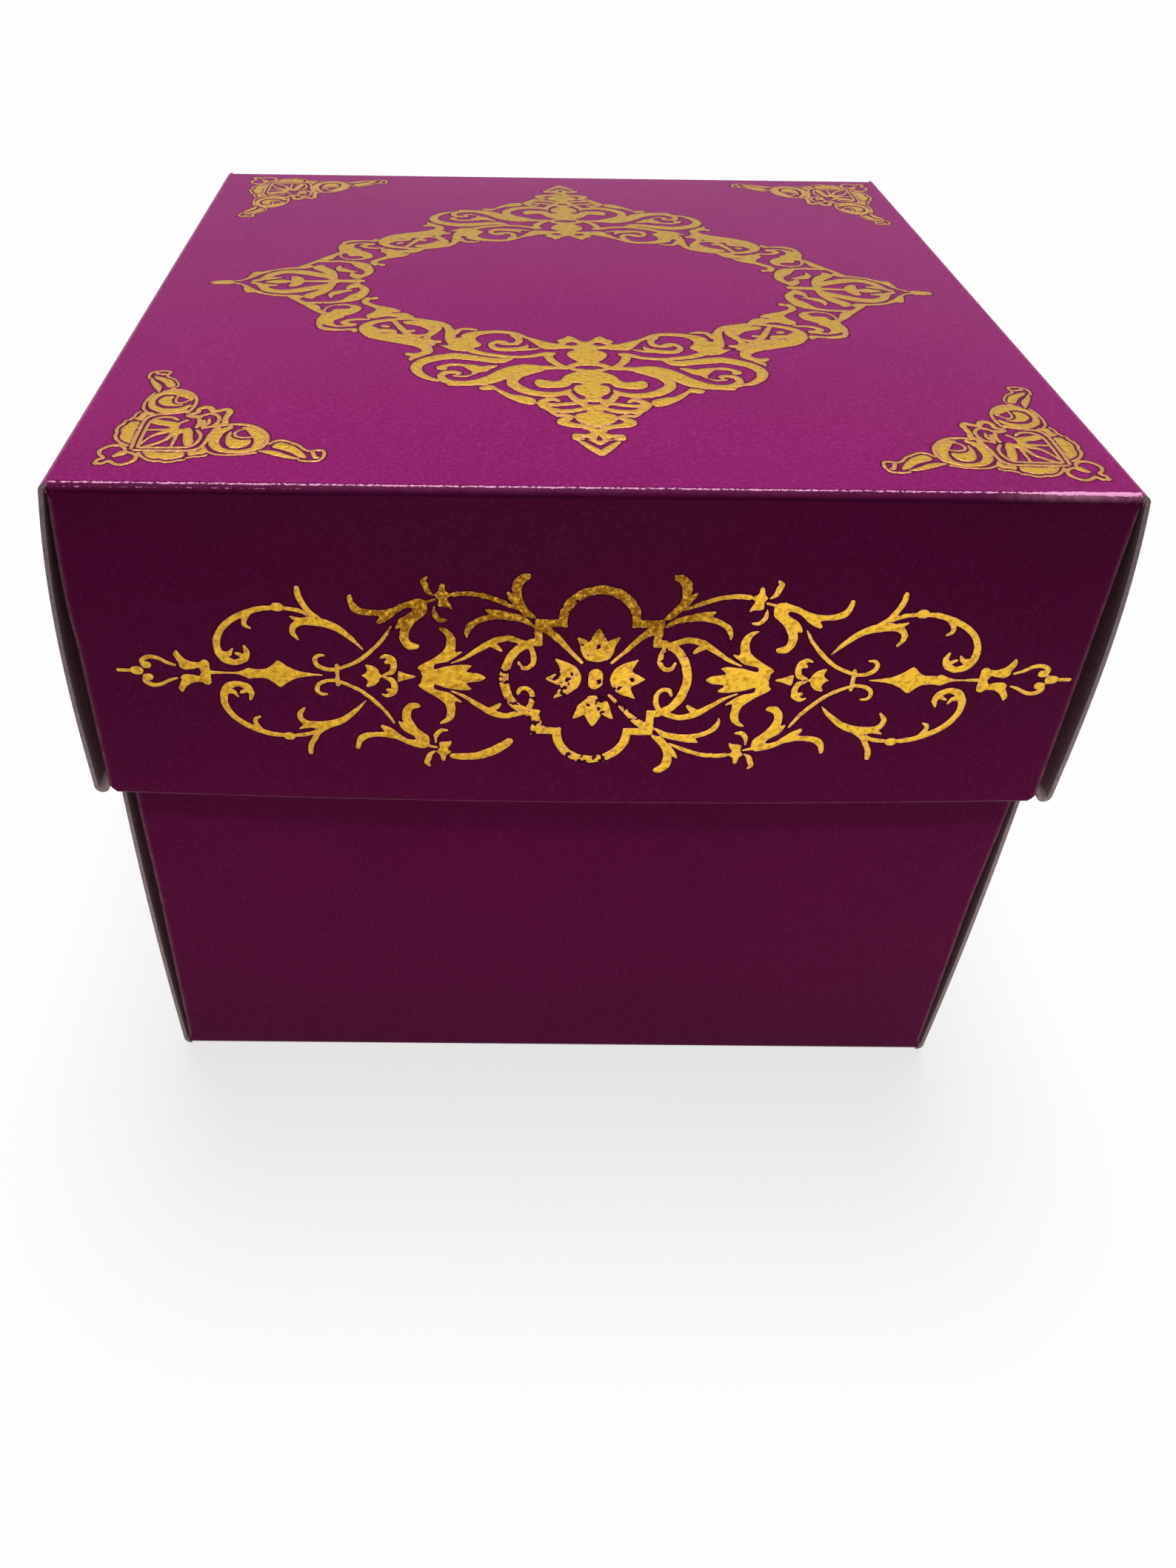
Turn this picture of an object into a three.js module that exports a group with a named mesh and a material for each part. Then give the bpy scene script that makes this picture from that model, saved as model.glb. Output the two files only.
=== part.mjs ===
// Two-piece gift box folded from printed paperboard: a deep base and a shallow lid made the same way.
// Millimetres, +Z up. The origin is the middle of the underside, X runs along the front, -Y is the front.
//
// Each tray is one creased sheet. Its front and back walls fold up and carry a flap at each end.
// The left and right walls fold over those flaps, turn back at the rim and run down inside as linings.
// Every panel between two creases is a mesh of its own.

import * as THREE from 'three';

// Board
const board = 0.45;
const creaseRadius = 0.6;
const layerGap = 0.1;

// Outside sizes, the height at the edges of the lid's top
const lidWidth = 100;
const boxHeight = 84.3;
const lidDepth = 37.8;

// Crown of the lid's top panel at its middle
const topCrown = 1.05;

// Fit of the lid over the base
const slip = 0.4;
const lidRest = 0.3;

// Sideways spring of the folded sides, as handles of a cubic that starts at the crease
const baseSpring = { low: 1.5, high: 1.63, rim: 0.2 };
const lidSpring = { low: 1.3, high: 0.64, rim: 0.1 };
const liningShare = 0.75;

// Outward bow of the front and back rims at mid length
const lidRimBow = 1.0;
const baseRimBow = 0.3;

// Linings and flaps
const liningStop = 1.5;
const sideLiningInset = 4;
const sideLiningTaper = 2.5;
const frontRimInset = 1.3;
const wallEndStep = 0.2;
const lidFlapLength = 22;
const baseFlapLength = 32;
const flapTaper = 2.5;
const flapClearance = 0.3;
const flapSplayRun = 3.5;

// Facets
const beadFacets = 4;
const rimFacets = 8;
const sideFacets = 12;
const endFacets = 6;
const lengthFacets = 10;
const panelFacets = 12;
const splayFacets = 4;

const laminate = new THREE.MeshStandardMaterial({ color: '#7d1a5c', roughness: 0.32, metalness: 0 });

// Cubic that leaves zero at s = 0 and ends at the rim value at s = 1
function springAt(s, { low, high, rim }) {
  return 3 * (1 - s) ** 2 * s * low + 3 * (1 - s) * s ** 2 * high + s ** 3 * rim;
}

// The base fits inside the lid's linings, with its own side walls and their spring between
const lidHalf = lidWidth / 2;
const foldedLayers = 2 * board + layerGap;
const baseHalf = lidHalf - foldedLayers - slip - baseSpring.rim - layerGap - board;
const baseDepth = boxHeight - board - lidRest;

// The base's sides push the lid's linings out, and the lid's walls stand out a little more
const baseSideSpring = (s) => springAt(s, baseSpring);
const baseSpringBehindLid = (s) =>
  baseSideSpring((boxHeight - s * lidDepth) / boxHeight) - baseSideSpring(1);

const trays = [
  {
    name: 'base',
    panelName: 'floor_panel',
    half: baseHalf,
    panelZ: 0,
    crown: 0,
    up: 1,
    depth: baseDepth,
    wallSpring: baseSideSpring,
    liningSpring: (s) => liningShare * baseSideSpring(s),
    rimBow: baseRimBow,
    flapLength: baseFlapLength,
  },
  {
    name: 'lid',
    panelName: 'top_panel',
    half: lidHalf,
    panelZ: boxHeight,
    crown: topCrown,
    up: -1,
    depth: lidDepth,
    wallSpring: (s) => baseSpringBehindLid(s) + springAt(s, lidSpring),
    liningSpring: baseSpringBehindLid,
    rimBow: lidRimBow,
    flapLength: lidFlapLength,
  },
];

const sides = [
  { name: 'left', sign: -1 },
  { name: 'right', sign: 1 },
];
const ends = [
  { name: 'front', sign: -1 },
  { name: 'back', sign: 1 },
];

// Evenly spaced numbers from a to b
function steps(a, b, count) {
  return Array.from({ length: count + 1 }, (_, i) => a + ((b - a) * i) / count);
}

// Points on an arc, angles in quarter turns
function arc(x, y, radius, from, to, count) {
  return steps(from, to, count).map((quarter) => {
    const angle = (quarter * Math.PI) / 2;
    return new THREE.Vector2(x + radius * Math.cos(angle), y + radius * Math.sin(angle));
  });
}

// A closed outline from the outer face of a strip of board and its inner face
function strip(outerFace, innerFace) {
  return new THREE.Shape([...outerFace, ...innerFace.slice().reverse()]);
}

// Extrudes an outline evenly to both sides of its plane
function extrude(shape, length, facets = 1) {
  const geometry = new THREE.ExtrudeGeometry(shape, { depth: length, steps: facets, bevelEnabled: false });
  return geometry.translate(0, 0, -length / 2);
}

// Turns an outline drawn across X and Z, extruded along Y
const alongY = new THREE.Matrix4().makeBasis(
  new THREE.Vector3(1, 0, 0),
  new THREE.Vector3(0, 0, 1),
  new THREE.Vector3(0, -1, 0),
);

// Turns an outline drawn across Y and Z, extruded along X
const alongX = new THREE.Matrix4().makeBasis(
  new THREE.Vector3(0, 1, 0),
  new THREE.Vector3(0, 0, 1),
  new THREE.Vector3(1, 0, 0),
);

// Moves each vertex by a function of where it lies
function bend(geometry, place) {
  const position = geometry.attributes.position;
  const point = new THREE.Vector3();
  for (let i = 0; i < position.count; i += 1) {
    point.fromBufferAttribute(position, i);
    place(point);
    position.setXYZ(i, point.x, point.y, point.z);
  }
  geometry.computeVertexNormals();
  return geometry;
}

function panelMesh(name, geometry) {
  const mesh = new THREE.Mesh(geometry, laminate);
  mesh.name = name;
  return mesh;
}

// Quarter bead of a crease and the wall that rises from it, as outer and inner face points.
// face is the wall's outer face at the crease, spring its lean at s, end where the wall stops.
function creasedWall({ face, spring, floor, up, end, sign, facets }) {
  const bead = (radius) =>
    arc(face - creaseRadius, floor + up * creaseRadius, radius, -up, 0, beadFacets);
  const run = (inset) =>
    steps(0, 1, facets)
      .slice(1)
      .map((s) => new THREE.Vector2(
        face - inset + spring(s),
        floor + up * creaseRadius + s * (end - floor - up * creaseRadius),
      ));
  const mirrored = (points) => points.map((p) => new THREE.Vector2(sign * p.x, p.y));
  return strip(
    mirrored([...bead(creaseRadius), ...run(0)]),
    mirrored([...bead(creaseRadius - board), ...run(board)]),
  );
}

// Half ring in which a wall turns over into its lining
function rimTurn({ outer, inner, z, up, sign }) {
  const radius = (outer - inner) / 2;
  const centre = outer - radius;
  const ring = (r) =>
    arc(0, 0, r, 0, 2 * up, rimFacets).map((p) => new THREE.Vector2(sign * (centre + p.x), z + p.y));
  return strip(ring(radius), ring(radius - board));
}

// Lining that runs back from the rim towards the panel
function liningStrip({ face, spring, fromZ, toZ, sAt, sign, facets }) {
  const run = (inset) =>
    steps(fromZ, toZ, facets).map((z) => new THREE.Vector2(sign * (face + inset + spring(sAt(z))), z));
  return strip(run(board), run(0));
}

// Faces and heights of a folded side. s runs from 0 at the crease to 1 where the rim starts to turn.
function sideLevels({ half, up, depth, panelZ, wallSpring, liningSpring }) {
  const wallFace = half + layerGap + board;
  const liningFace = half - foldedLayers;
  const rimOuter = wallFace + wallSpring(1);
  const rimInner = liningFace + liningSpring(1);
  const rimRadius = (rimOuter - rimInner) / 2;
  const rimZ = panelZ + up * (depth - rimRadius);
  const creaseZ = panelZ + up * creaseRadius;
  const sAt = (z) => (z - creaseZ) / (rimZ - creaseZ);
  return { wallFace, liningFace, rimOuter, rimInner, rimRadius, rimZ, sAt };
}

// Left and right walls, each with its rolled rim and lining
function foldedSide(tray, side) {
  const { half, up, panelZ, wallSpring, liningSpring } = tray;
  const { wallFace, liningFace, rimOuter, rimInner, rimZ, sAt } = sideLevels(tray);
  const sign = side.sign;
  const stopZ = panelZ + up * (board + liningStop);
  const wallLength = 2 * (half - wallEndStep);
  const liningLength = 2 * (half - sideLiningInset);

  // The rim is as long as its wall where it passes outside the end walls, and otherwise stops inside them
  const rimPasses = rimInner > half - creaseRadius;
  const rimLength = rimPasses ? wallLength : 2 * (half - board - flapClearance);

  const wall = creasedWall({
    face: wallFace, spring: wallSpring, floor: panelZ, up, end: rimZ, sign, facets: sideFacets,
  });
  const rim = rimTurn({ outer: rimOuter, inner: rimInner, z: rimZ, up, sign });
  const lining = liningStrip({
    face: liningFace, spring: liningSpring, fromZ: rimZ, toZ: stopZ, sAt, sign, facets: sideFacets,
  });

  // The lining's ends taper towards the panel, so that it folds in past the flaps
  const liningBody = bend(extrude(lining, liningLength).applyMatrix4(alongY), (p) => {
    const cut = sideLiningTaper * (1 - sAt(p.z));
    p.y -= Math.sign(p.y) * cut;
  });
  return [
    panelMesh(`${tray.name}_${side.name}_wall`, extrude(wall, wallLength).applyMatrix4(alongY)),
    panelMesh(`${tray.name}_${side.name}_rim`, extrude(rim, rimLength).applyMatrix4(alongY)),
    panelMesh(`${tray.name}_${side.name}_lining`, liningBody),
  ];
}

// Front and back walls, each folded flat onto its lining at the rim
function foldedEnd(tray, end) {
  const { half, up, depth, panelZ, rimBow } = tray;
  const sign = end.sign;
  const rimRadius = foldedLayers / 2;
  const rimZ = panelZ + up * (depth - rimRadius);
  const stopZ = panelZ + up * (board + liningStop);
  const straight = () => 0;
  const wallHalf = half - creaseRadius;
  const rimHalf = half - frontRimInset;

  const liningFace = half - foldedLayers;
  const wall = creasedWall({
    face: half, spring: straight, floor: panelZ, up, end: rimZ, sign, facets: endFacets,
  });
  const rim = rimTurn({ outer: half, inner: liningFace, z: rimZ, up, sign });
  const lining = liningStrip({
    face: liningFace, spring: straight, fromZ: rimZ, toZ: stopZ, sAt: straight, sign, facets: endFacets,
  });

  // The wall bows out at mid length, most at the free edge, while its crease and corners stay put
  const bow = (p) => {
    const rise = Math.max(0, (up * (p.z - panelZ) - creaseRadius) / (depth - creaseRadius));
    p.y += sign * rimBow * rise * (2 - rise) * (1 - (p.x / wallHalf) ** 2);
  };
  const bowed = (shape, halfLength) =>
    bend(extrude(shape, 2 * halfLength, lengthFacets).applyMatrix4(alongX), bow);
  return [
    panelMesh(`${tray.name}_${end.name}_wall`, bowed(wall, wallHalf)),
    panelMesh(`${tray.name}_${end.name}_rim`, bowed(rim, rimHalf)),
    panelMesh(`${tray.name}_${end.name}_lining`, bowed(lining, rimHalf)),
  ];
}

// Corner flap: it turns off the end wall at an upright crease and lies between side wall and lining
function cornerFlap(tray, end, side) {
  const { half, up, panelZ, flapLength, wallSpring, liningSpring } = tray;
  const { rimZ, sAt } = sideLevels(tray);
  const nearZ = panelZ + up * (board + flapClearance);
  const farZ = rimZ - up * flapClearance;
  const height = Math.abs(farZ - nearZ);
  const middleZ = (nearZ + farZ) / 2;
  const hinge = half - creaseRadius;

  // Plan of the flap in the corner where X and Y are both positive, then mirrored into its own corner
  const bead = (radius) => arc(hinge, hinge, radius, 1, 0, beadFacets);
  const splayed = steps(hinge, hinge - flapSplayRun, splayFacets).slice(1);
  const run = (x) => [...splayed, half - flapLength].map((y) => new THREE.Vector2(x, y));
  const mirrored = (points) => points.map((p) => new THREE.Vector2(side.sign * p.x, end.sign * p.y));
  const plan = strip(
    mirrored([...bead(creaseRadius), ...run(half)]),
    mirrored([...bead(creaseRadius - board), ...run(half - board)]),
  );

  // Both long edges taper towards the free end, and it splays out with the layers around it
  const place = (p) => {
    const back = Math.max(0, hinge - Math.abs(p.y));
    p.z = middleZ + (p.z - middleZ) * (1 - (2 * flapTaper * back) / (flapLength * height));
    const s = sAt(p.z);
    const splay = THREE.MathUtils.smoothstep(back, 0, flapSplayRun);
    p.x += (side.sign * splay * (wallSpring(s) + liningSpring(s))) / 2;
  };
  const body = extrude(plan, height, sideFacets).translate(0, 0, middleZ);
  return panelMesh(`${tray.name}_${end.name}_${side.name}_flap`, bend(body, place));
}

// Square panel between the four creases, crowned outwards in the middle and straight along its edges
function squarePanel({ name, panelName, half, up, panelZ, crown }) {
  const halfX = half + layerGap + board - creaseRadius;
  const halfY = half - creaseRadius;
  const facets = crown > 0 ? panelFacets : 1;
  const flat = new THREE.BoxGeometry(2 * halfX, 2 * halfY, board, facets, facets, 1);
  const rise = (p) => {
    p.z += panelZ + (up * board) / 2 - up * crown * (1 - (p.x / halfX) ** 2) * (1 - (p.y / halfY) ** 2);
  };
  return panelMesh(`${name}_${panelName}`, bend(flat, rise));
}

function buildTray(tray) {
  const group = new THREE.Group();
  group.add(squarePanel(tray));
  for (const side of sides) group.add(...foldedSide(tray, side));
  for (const end of ends) {
    group.add(...foldedEnd(tray, end));
    for (const side of sides) group.add(cornerFlap(tray, end, side));
  }
  return group;
}

const giftBox = new THREE.Group();
for (const tray of trays) giftBox.add(buildTray(tray));

export default giftBox;
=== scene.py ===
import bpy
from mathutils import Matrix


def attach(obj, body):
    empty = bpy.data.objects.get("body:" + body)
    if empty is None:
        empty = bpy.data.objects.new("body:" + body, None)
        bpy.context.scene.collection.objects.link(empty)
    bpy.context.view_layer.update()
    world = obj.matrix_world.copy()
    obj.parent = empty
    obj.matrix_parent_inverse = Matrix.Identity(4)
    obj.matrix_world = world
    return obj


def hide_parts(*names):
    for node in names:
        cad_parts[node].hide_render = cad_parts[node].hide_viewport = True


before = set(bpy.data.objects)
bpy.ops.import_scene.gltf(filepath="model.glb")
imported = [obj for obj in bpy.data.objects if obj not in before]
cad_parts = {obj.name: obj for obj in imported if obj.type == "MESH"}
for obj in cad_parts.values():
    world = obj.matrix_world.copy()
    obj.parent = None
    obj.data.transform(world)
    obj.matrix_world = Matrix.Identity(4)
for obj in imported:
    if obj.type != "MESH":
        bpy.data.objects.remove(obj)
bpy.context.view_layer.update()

import math

import bpy
import numpy as np
from mathutils import Matrix

# Two-piece gift box in foil-stamped, film-laminated paperboard. Lengths are in millimetres up to meshFrom.
# X runs along the front, -Y is the front, +Z is up, and the origin is the middle of the underside.

box = {
    "board": 0.45,
    "creaseRadius": 0.9,
    "layerGap": 0.1,
    "lidWidth": 100.0,
    "height": 84.3,
    "lidDepth": 37.8,
    "slip": 0.4,                    # play between the lid and the base
    "lidRest": 0.3,                 # air between the lid's top and the base's rims
    "baseSpring": (1.5, 1.63, 0.2),     # lean of the side walls: handles low and high, then the rim
    "lidSpring": (1.18, 0.61, 0.07),
    "liningShare": 0.75,            # of the wall's lean, for the base's side linings
    "lidRimBow": 0.97,
    "baseRimBow": 0.29,
    "crown": 1.0,
    "liningStop": 1.5,              # a lining ends this far from the panel
    "sideLiningInset": 4.0,
    "sideLiningTaper": 2.5,
    "rimSlant": (0.35, 0.4),        # width and height cut off the corners of the front and back rims
    "earReach": 0.75,               # how far the front and back walls reach out over the flaps
    "wallEndStep": 0.2,             # a side wall ends this far from the front and back faces
    "lidFlapLength": 22.0,
    "baseFlapLength": 32.0,
    "flapTaper": 2.5,
    "flapClearance": 0.3,
    "flapSplayRun": 3.5,
}

# Wear of the folds, with painted highlight and painted shade on them. Places along a fold are measured from
# its middle, and a turn runs from 0 to 1.
wear = {
    "bead": 0.4,                    # how rubbed a crease is, with painted highlight, and less so where its film breaks
    "beadSpared": 0.35,
    "dentGlare": 0.5,                    # and how much more so by the dented right end, as painted glare
    "dentAlong": (36.0, 42.0),
    "rim": 0.95,                    # how rubbed a rim is, with painted highlight, at which share of its turn, and how widely
    "rimTurn": (0.27, 0.2),
    "upright": (0.5, 0.22),         # the same for an upright crease
    "firstRow": (0.2, 0.24),        # row of painted highlight along a crease, broken where its film breaks: its place on the turn and its width
    "firstWider": 0.14,
    "firstWiderAlong": (38.0, 42.0),
    "firstStronger": 0.15,
    "firstStrongerAlong": (40.0, 43.0),
    "secondRow": (0.54, 0.11),
    "second": 0.92,
    "secondAlong": (-12.0, -26.0),
    "corner": 1.15,                 # how broken a crease is at its corners, shown in painted highlight, and over what length
    "cornerRun": 1.2,
    # painted shade on the turn of a broken crease
    "paintedBeadShade": 0.95,
    "endLightRun": 1.3,               # length of the paler ends of a side wall's back, where light is painted
}
foldedLayers = 2 * box["board"] + box["layerGap"]
lidHalf = box["lidWidth"] / 2
baseHalf = lidHalf - foldedLayers - box["slip"] - box["baseSpring"][2] - box["layerGap"] - box["board"]


# From 0 at low to 1 at high in a straight line, and level beyond them
def ramp(value, low, high):
    return np.clip((value - low) / (high - low), 0, 1)


# The same, eased at both ends: 3 t^2 - 2 t^3
def easedRamp(value, low, high):
    t = ramp(value, low, high)
    return t * t * (3 - 2 * t)


# Bell curve: exp(-((value - middle) / width)^2)
def bell(value, middle, width):
    return np.exp(-((value - middle) / width) ** 2)


# sRGB hex to linear RGBA
def linear(hexColour):
    values = np.array([int(hexColour[i:i + 2], 16) / 255 for i in (1, 3, 5)])
    low, high = values / 12.92, ((values + 0.055) / 1.055) ** 2.4
    return (*np.where(values <= 0.04045, low, high).tolist(), 1.0)


# Adds a node with its settings, and fills its inputs with plain values or links. A link starts at an output,
# or at another node's first output in use.
def addNode(tree, kind, inputs=None, **settings):
    node = tree.nodes.new("ShaderNode" + kind)
    for name, value in settings.items():
        setattr(node, name, value)
    for key, value in (inputs or {}).items():
        if isinstance(value, bpy.types.Node):
            value = next(output for output in value.outputs if output.enabled)
        if isinstance(value, bpy.types.NodeSocket):
            tree.links.new(value, node.inputs[key])
        else:
            node.inputs[key].default_value = value
    return node


# An empty material, and the Object coordinates that its patterns read
def newMaterial(name):
    material = bpy.data.materials.new(name)
    material.use_nodes = True
    tree = material.node_tree
    tree.nodes.clear()
    return material, tree, addNode(tree, "TexCoord").outputs["Object"]


# Gives a material its Principled shader
def shadeMaterial(tree, inputs):
    shader = addNode(tree, "BsdfPrincipled", inputs)
    addNode(tree, "OutputMaterial", {"Surface": shader})


# Lays tones over a ground colour, one after another. Each covers as much as the product of its factors says.
# A factor is a plain value, or a value with two limits, between which it goes smoothly from 0 to 1.
def layColours(tree, ground, layers):
    colour = linear(ground)
    for tone, *factors in layers:
        cover = 1.0
        for value, *limits in factors:
            if limits:
                span = {"Value": value, "From Min": limits[0], "From Max": limits[1]}
                value = addNode(tree, "MapRange", span, interpolation_type="SMOOTHSTEP")
            cover = addNode(tree, "Math", {0: cover, 1: value}, operation="MULTIPLY")
        colour = addNode(tree, "Mix", {0: cover, 6: colour, 7: linear(tone)}, data_type="RGBA")
    return colour


perMetre = 1000.0   # sizes of pieces and patterns are in millimetres

film = {
    "print": "#8c1768",
    "printDeep": "#871564",
    "speckle": "#9f2b7d",
    "dust": "#a06c90",
    # painted shade on the turn of a broken crease
    "folded": "#5e0443",
    # pale scuffs on the folds, with painted highlight
    "scuffAndHighlight": "#d193b0",
    # painted highlight of a crease, in dashes where its film breaks
    "crackGlint": "#ffaee2",
    "roughness": 0.3,
    "pressedRoughness": 0.42,
    "reflectance": 0.036,
    "mottleSize": 18.0,
    "speckleSize": 0.4,     # finer in the real film, drawn this coarse to show
    "dustSpacing": 9.0,
    "scuffSize": 1.6,
    "dashSize": 0.36,       # breaks in the crease's painted highlight, drawn out along the crease
    "dashStretch": (0.75, 1.0, 1.0),
    "grainSize": 0.7,
    "grainDepth": 0.006,
    "pressedSize": 0.9,
}


# Offset-printed board under a clear gloss film, pressed on between hot rollers. It gives a deep, even magenta
# with a soft sheen, a faint orange-peel grain, pale scuffs with painted highlight on the folds, painted
# shade on the turn of a broken crease, and painted highlight in dashes along it where the film breaks.
def makeLaminate():
    material, tree, place = newMaterial("gloss film over magenta print")
    paintedBeadShade, rubbed, glintAlongCracks = (
        addNode(tree, "Attribute", attribute_name=field).outputs["Fac"]
        for field in ("paintedBeadShade", "rubbed", "glintAlongCracks"))
    mottle = addNode(tree, "TexNoise", {
        "Vector": place, "Scale": perMetre / film["mottleSize"], "Detail": 3.0})
    speckles = addNode(tree, "TexNoise", {
        "Vector": place, "Scale": perMetre / film["speckleSize"], "Detail": 3.0, "Roughness": 0.7})
    # a speck of dust or fibre lies in the middle of a cell, in rather less than half of the cells
    cells = addNode(tree, "TexVoronoi", {"Vector": place, "Scale": perMetre / film["dustSpacing"]}).outputs
    scuffs = addNode(tree, "TexNoise", {
        "Vector": place, "Scale": perMetre / film["scuffSize"], "Detail": 4.0, "Roughness": 0.7})
    along = addNode(tree, "Mapping", {"Vector": place, "Scale": film["dashStretch"]})
    dashes = addNode(tree, "TexNoise", {
        "Vector": along, "Scale": perMetre / film["dashSize"], "Detail": 4.0, "Roughness": 0.8})
    broken = addNode(tree, "Math", {0: glintAlongCracks, 1: dashes}, operation="ADD")
    colour = layColours(tree, film["print"], [
        (film["printDeep"], (mottle, 0.3, 0.7)),
        (film["speckle"], (speckles, 0.45, 0.75)),
        (film["dust"], (cells["Distance"], 0.024, 0.012), (cells["Color"], 0.55, 0.56)),
        # painted shade on the bead
        (film["folded"], (paintedBeadShade,)),
        # scuffs on the folds, with painted highlight
        (film["scuffAndHighlight"], (rubbed,), (scuffs, 0.2, 0.65)),
        # painted highlight along a broken crease
        (film["crackGlint"], (broken, 1.425, 1.495)),
    ])
    grain = addNode(tree, "TexNoise", {"Vector": place, "Scale": perMetre / film["grainSize"], "Detail": 2.0})
    bump = addNode(tree, "Bump", {
        "Height": grain, "Strength": 0.35, "Distance": film["grainDepth"] / perMetre})
    shadeMaterial(tree, {
        "Base Color": colour, "Roughness": film["roughness"], "Specular IOR Level": film["reflectance"],
        "Normal": bump,
    })
    return material


# Film pressed down along the edge of the stamping die, with painted shade at the foil's foot: the same print,
# darkest at the foil and fading outwards
def makePressedFilm():
    material, tree, place = newMaterial("film pressed by the stamping die")
    pressed = addNode(tree, "Attribute", attribute_name="pressed").outputs["Fac"]
    noise = addNode(tree, "TexNoise", {
        "Vector": place, "Scale": perMetre / film["pressedSize"], "Detail": 3.0})
    patchy = addNode(tree, "Math", {0: pressed, 1: noise}, operation="ADD")
    colour = layColours(tree, film["printDeep"], [(foil["pressed"], (patchy, 0.45, 1.2))])
    shadeMaterial(tree, {
        "Base Color": colour, "Roughness": film["pressedRoughness"],
        "Specular IOR Level": film["reflectance"],
    })
    return material


rawBoard = {
    "face": "#c6b2bd",
    "fibre": "#a08d97",
    # painted light on a side wall's back near its ends
    "paintedEndLight": "#efe4ec",
    "cut": "#f4ecf4",
    "cutDark": "#d6c8d2",
    "cloudSize": 6.0,
    "fibreSize": 0.9,
    "fibreStretch": (1.0, 0.25, 1.0),
    "fibreDepth": 0.03,
    "plySize": 0.5,
    "plyDepth": 0.05,
}


# Uncoated back of the board: dark pulp, tinted by the ink, with short darker fibres in it, quite matt, and
# painted light towards the ends of a side wall
def makeBoardBack():
    material, tree, place = newMaterial("uncoated tinted board back")
    paintedEndLight = addNode(tree, "Attribute", attribute_name="paintedEndLight").outputs["Fac"]
    clouds = addNode(tree, "TexNoise", {
        "Vector": place, "Scale": perMetre / rawBoard["cloudSize"], "Detail": 4.0, "Roughness": 0.6})
    along = addNode(tree, "Mapping", {"Vector": place, "Scale": rawBoard["fibreStretch"]})
    fibres = addNode(tree, "TexNoise", {
        "Vector": along, "Scale": perMetre / rawBoard["fibreSize"], "Detail": 4.0, "Roughness": 0.75})
    colour = layColours(tree, rawBoard["face"], [
        (rawBoard["fibre"], (fibres, 0.45, 0.75), (clouds, 0.2, 0.6)),
        # painted light towards a side wall's ends
        (rawBoard["paintedEndLight"], (paintedEndLight,)),
    ])
    bump = addNode(tree, "Bump", {
        "Height": fibres, "Strength": 0.4, "Distance": rawBoard["fibreDepth"] / perMetre})
    shadeMaterial(tree, {"Base Color": colour, "Roughness": 0.85, "Specular IOR Level": 0.2, "Normal": bump})
    return material


# Die-cut edge of the board: pale torn plies, a little furry, with darker flecks between them
def makeCutEdge():
    material, tree, place = newMaterial("die-cut board edge")
    plies = addNode(tree, "TexNoise", {
        "Vector": place, "Scale": perMetre / rawBoard["plySize"], "Detail": 4.0, "Roughness": 0.8})
    colour = layColours(tree, rawBoard["cut"], [(rawBoard["cutDark"], (plies, 0.4, 0.7))])
    bump = addNode(tree, "Bump", {
        "Height": plies, "Strength": 0.6, "Distance": rawBoard["plyDepth"] / perMetre})
    shadeMaterial(tree, {"Base Color": colour, "Roughness": 0.9, "Specular IOR Level": 0.15, "Normal": bump})
    return material


foil = {
    "gold": "#e8ba38",
    "goldDeep": "#ad781c",
    # painted highlight on the foil's rounded edge
    "rim": "#d8946a",
    # painted shade where the foil reflects less light, laid in streaks
    "foilShadeColour": "#75480f",
    # darker film round the foil, partly painted shade at its foot
    "pressed": "#571634",
    "roughness": (0.28, 0.44),      # in the hollows of the crinkles and on their crests
    "crinkleSize": 0.5,
    "crinkleDepth": 0.16,
    "streakSize": 0.45,
    "relief": 0.03,     # how far the stamped foil stands up
    "bevel": 0.09,      # over which it rises from its edge
    "lift": 0.02,       # the pressed edge over the film
}


# Hot-stamped metallised foil: warm gold that mirrors softly, crinkled by the board's grain beneath it, with a
# painted highlight on its edge and painted shade in streaks where it reflects less light
def makeGoldFoil():
    material, tree, place = newMaterial("hot-stamped gold foil")
    rim, foilShade = (addNode(tree, "Attribute", attribute_name=field).outputs["Fac"] for field in ("rim", "foilShade"))
    crinkle = addNode(tree, "TexNoise", {
        "Vector": place, "Scale": perMetre / foil["crinkleSize"], "Detail": 4.0, "Roughness": 0.6})
    streaks = addNode(tree, "TexNoise", {
        "Vector": place, "Scale": perMetre / foil["streakSize"], "Detail": 4.0, "Roughness": 0.8})
    colour = layColours(tree, foil["gold"], [
        # darker gold over the crinkles, partly the foil's own uneven tone and partly painted shade
        (foil["goldDeep"], (crinkle, 0.46, 0.68), (0.85,)),
        # painted highlight on the foil's edge
        (foil["rim"], (rim,), (0.95,)),
        # painted shade in streaks where the foil reflects less light
        (foil["foilShadeColour"], (foilShade,), (streaks, 0.28, 0.58)),
    ])
    smooth, rough = foil["roughness"]
    gloss = addNode(tree, "MapRange", {
        "Value": crinkle, "From Min": 0.3, "From Max": 0.7, "To Min": smooth, "To Max": rough})
    bump = addNode(tree, "Bump", {
        "Height": crinkle, "Strength": 0.6, "Distance": foil["crinkleDepth"] / perMetre})
    shadeMaterial(tree, {"Base Color": colour, "Metallic": 1.0, "Roughness": gloss, "Normal": bump})
    return material


laminate, boardBack, cutEdge = makeLaminate(), makeBoardBack(), makeCutEdge()
goldFoil, pressedFilm = makeGoldFoil(), makePressedFilm()
print("materials ready")


# Quads of a grid of vertex numbers, row by row
def quadsOf(index):
    return np.stack([index[:-1, :-1], index[1:, :-1], index[1:, 1:], index[:-1, 1:]], -1).reshape(-1, 4)


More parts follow.
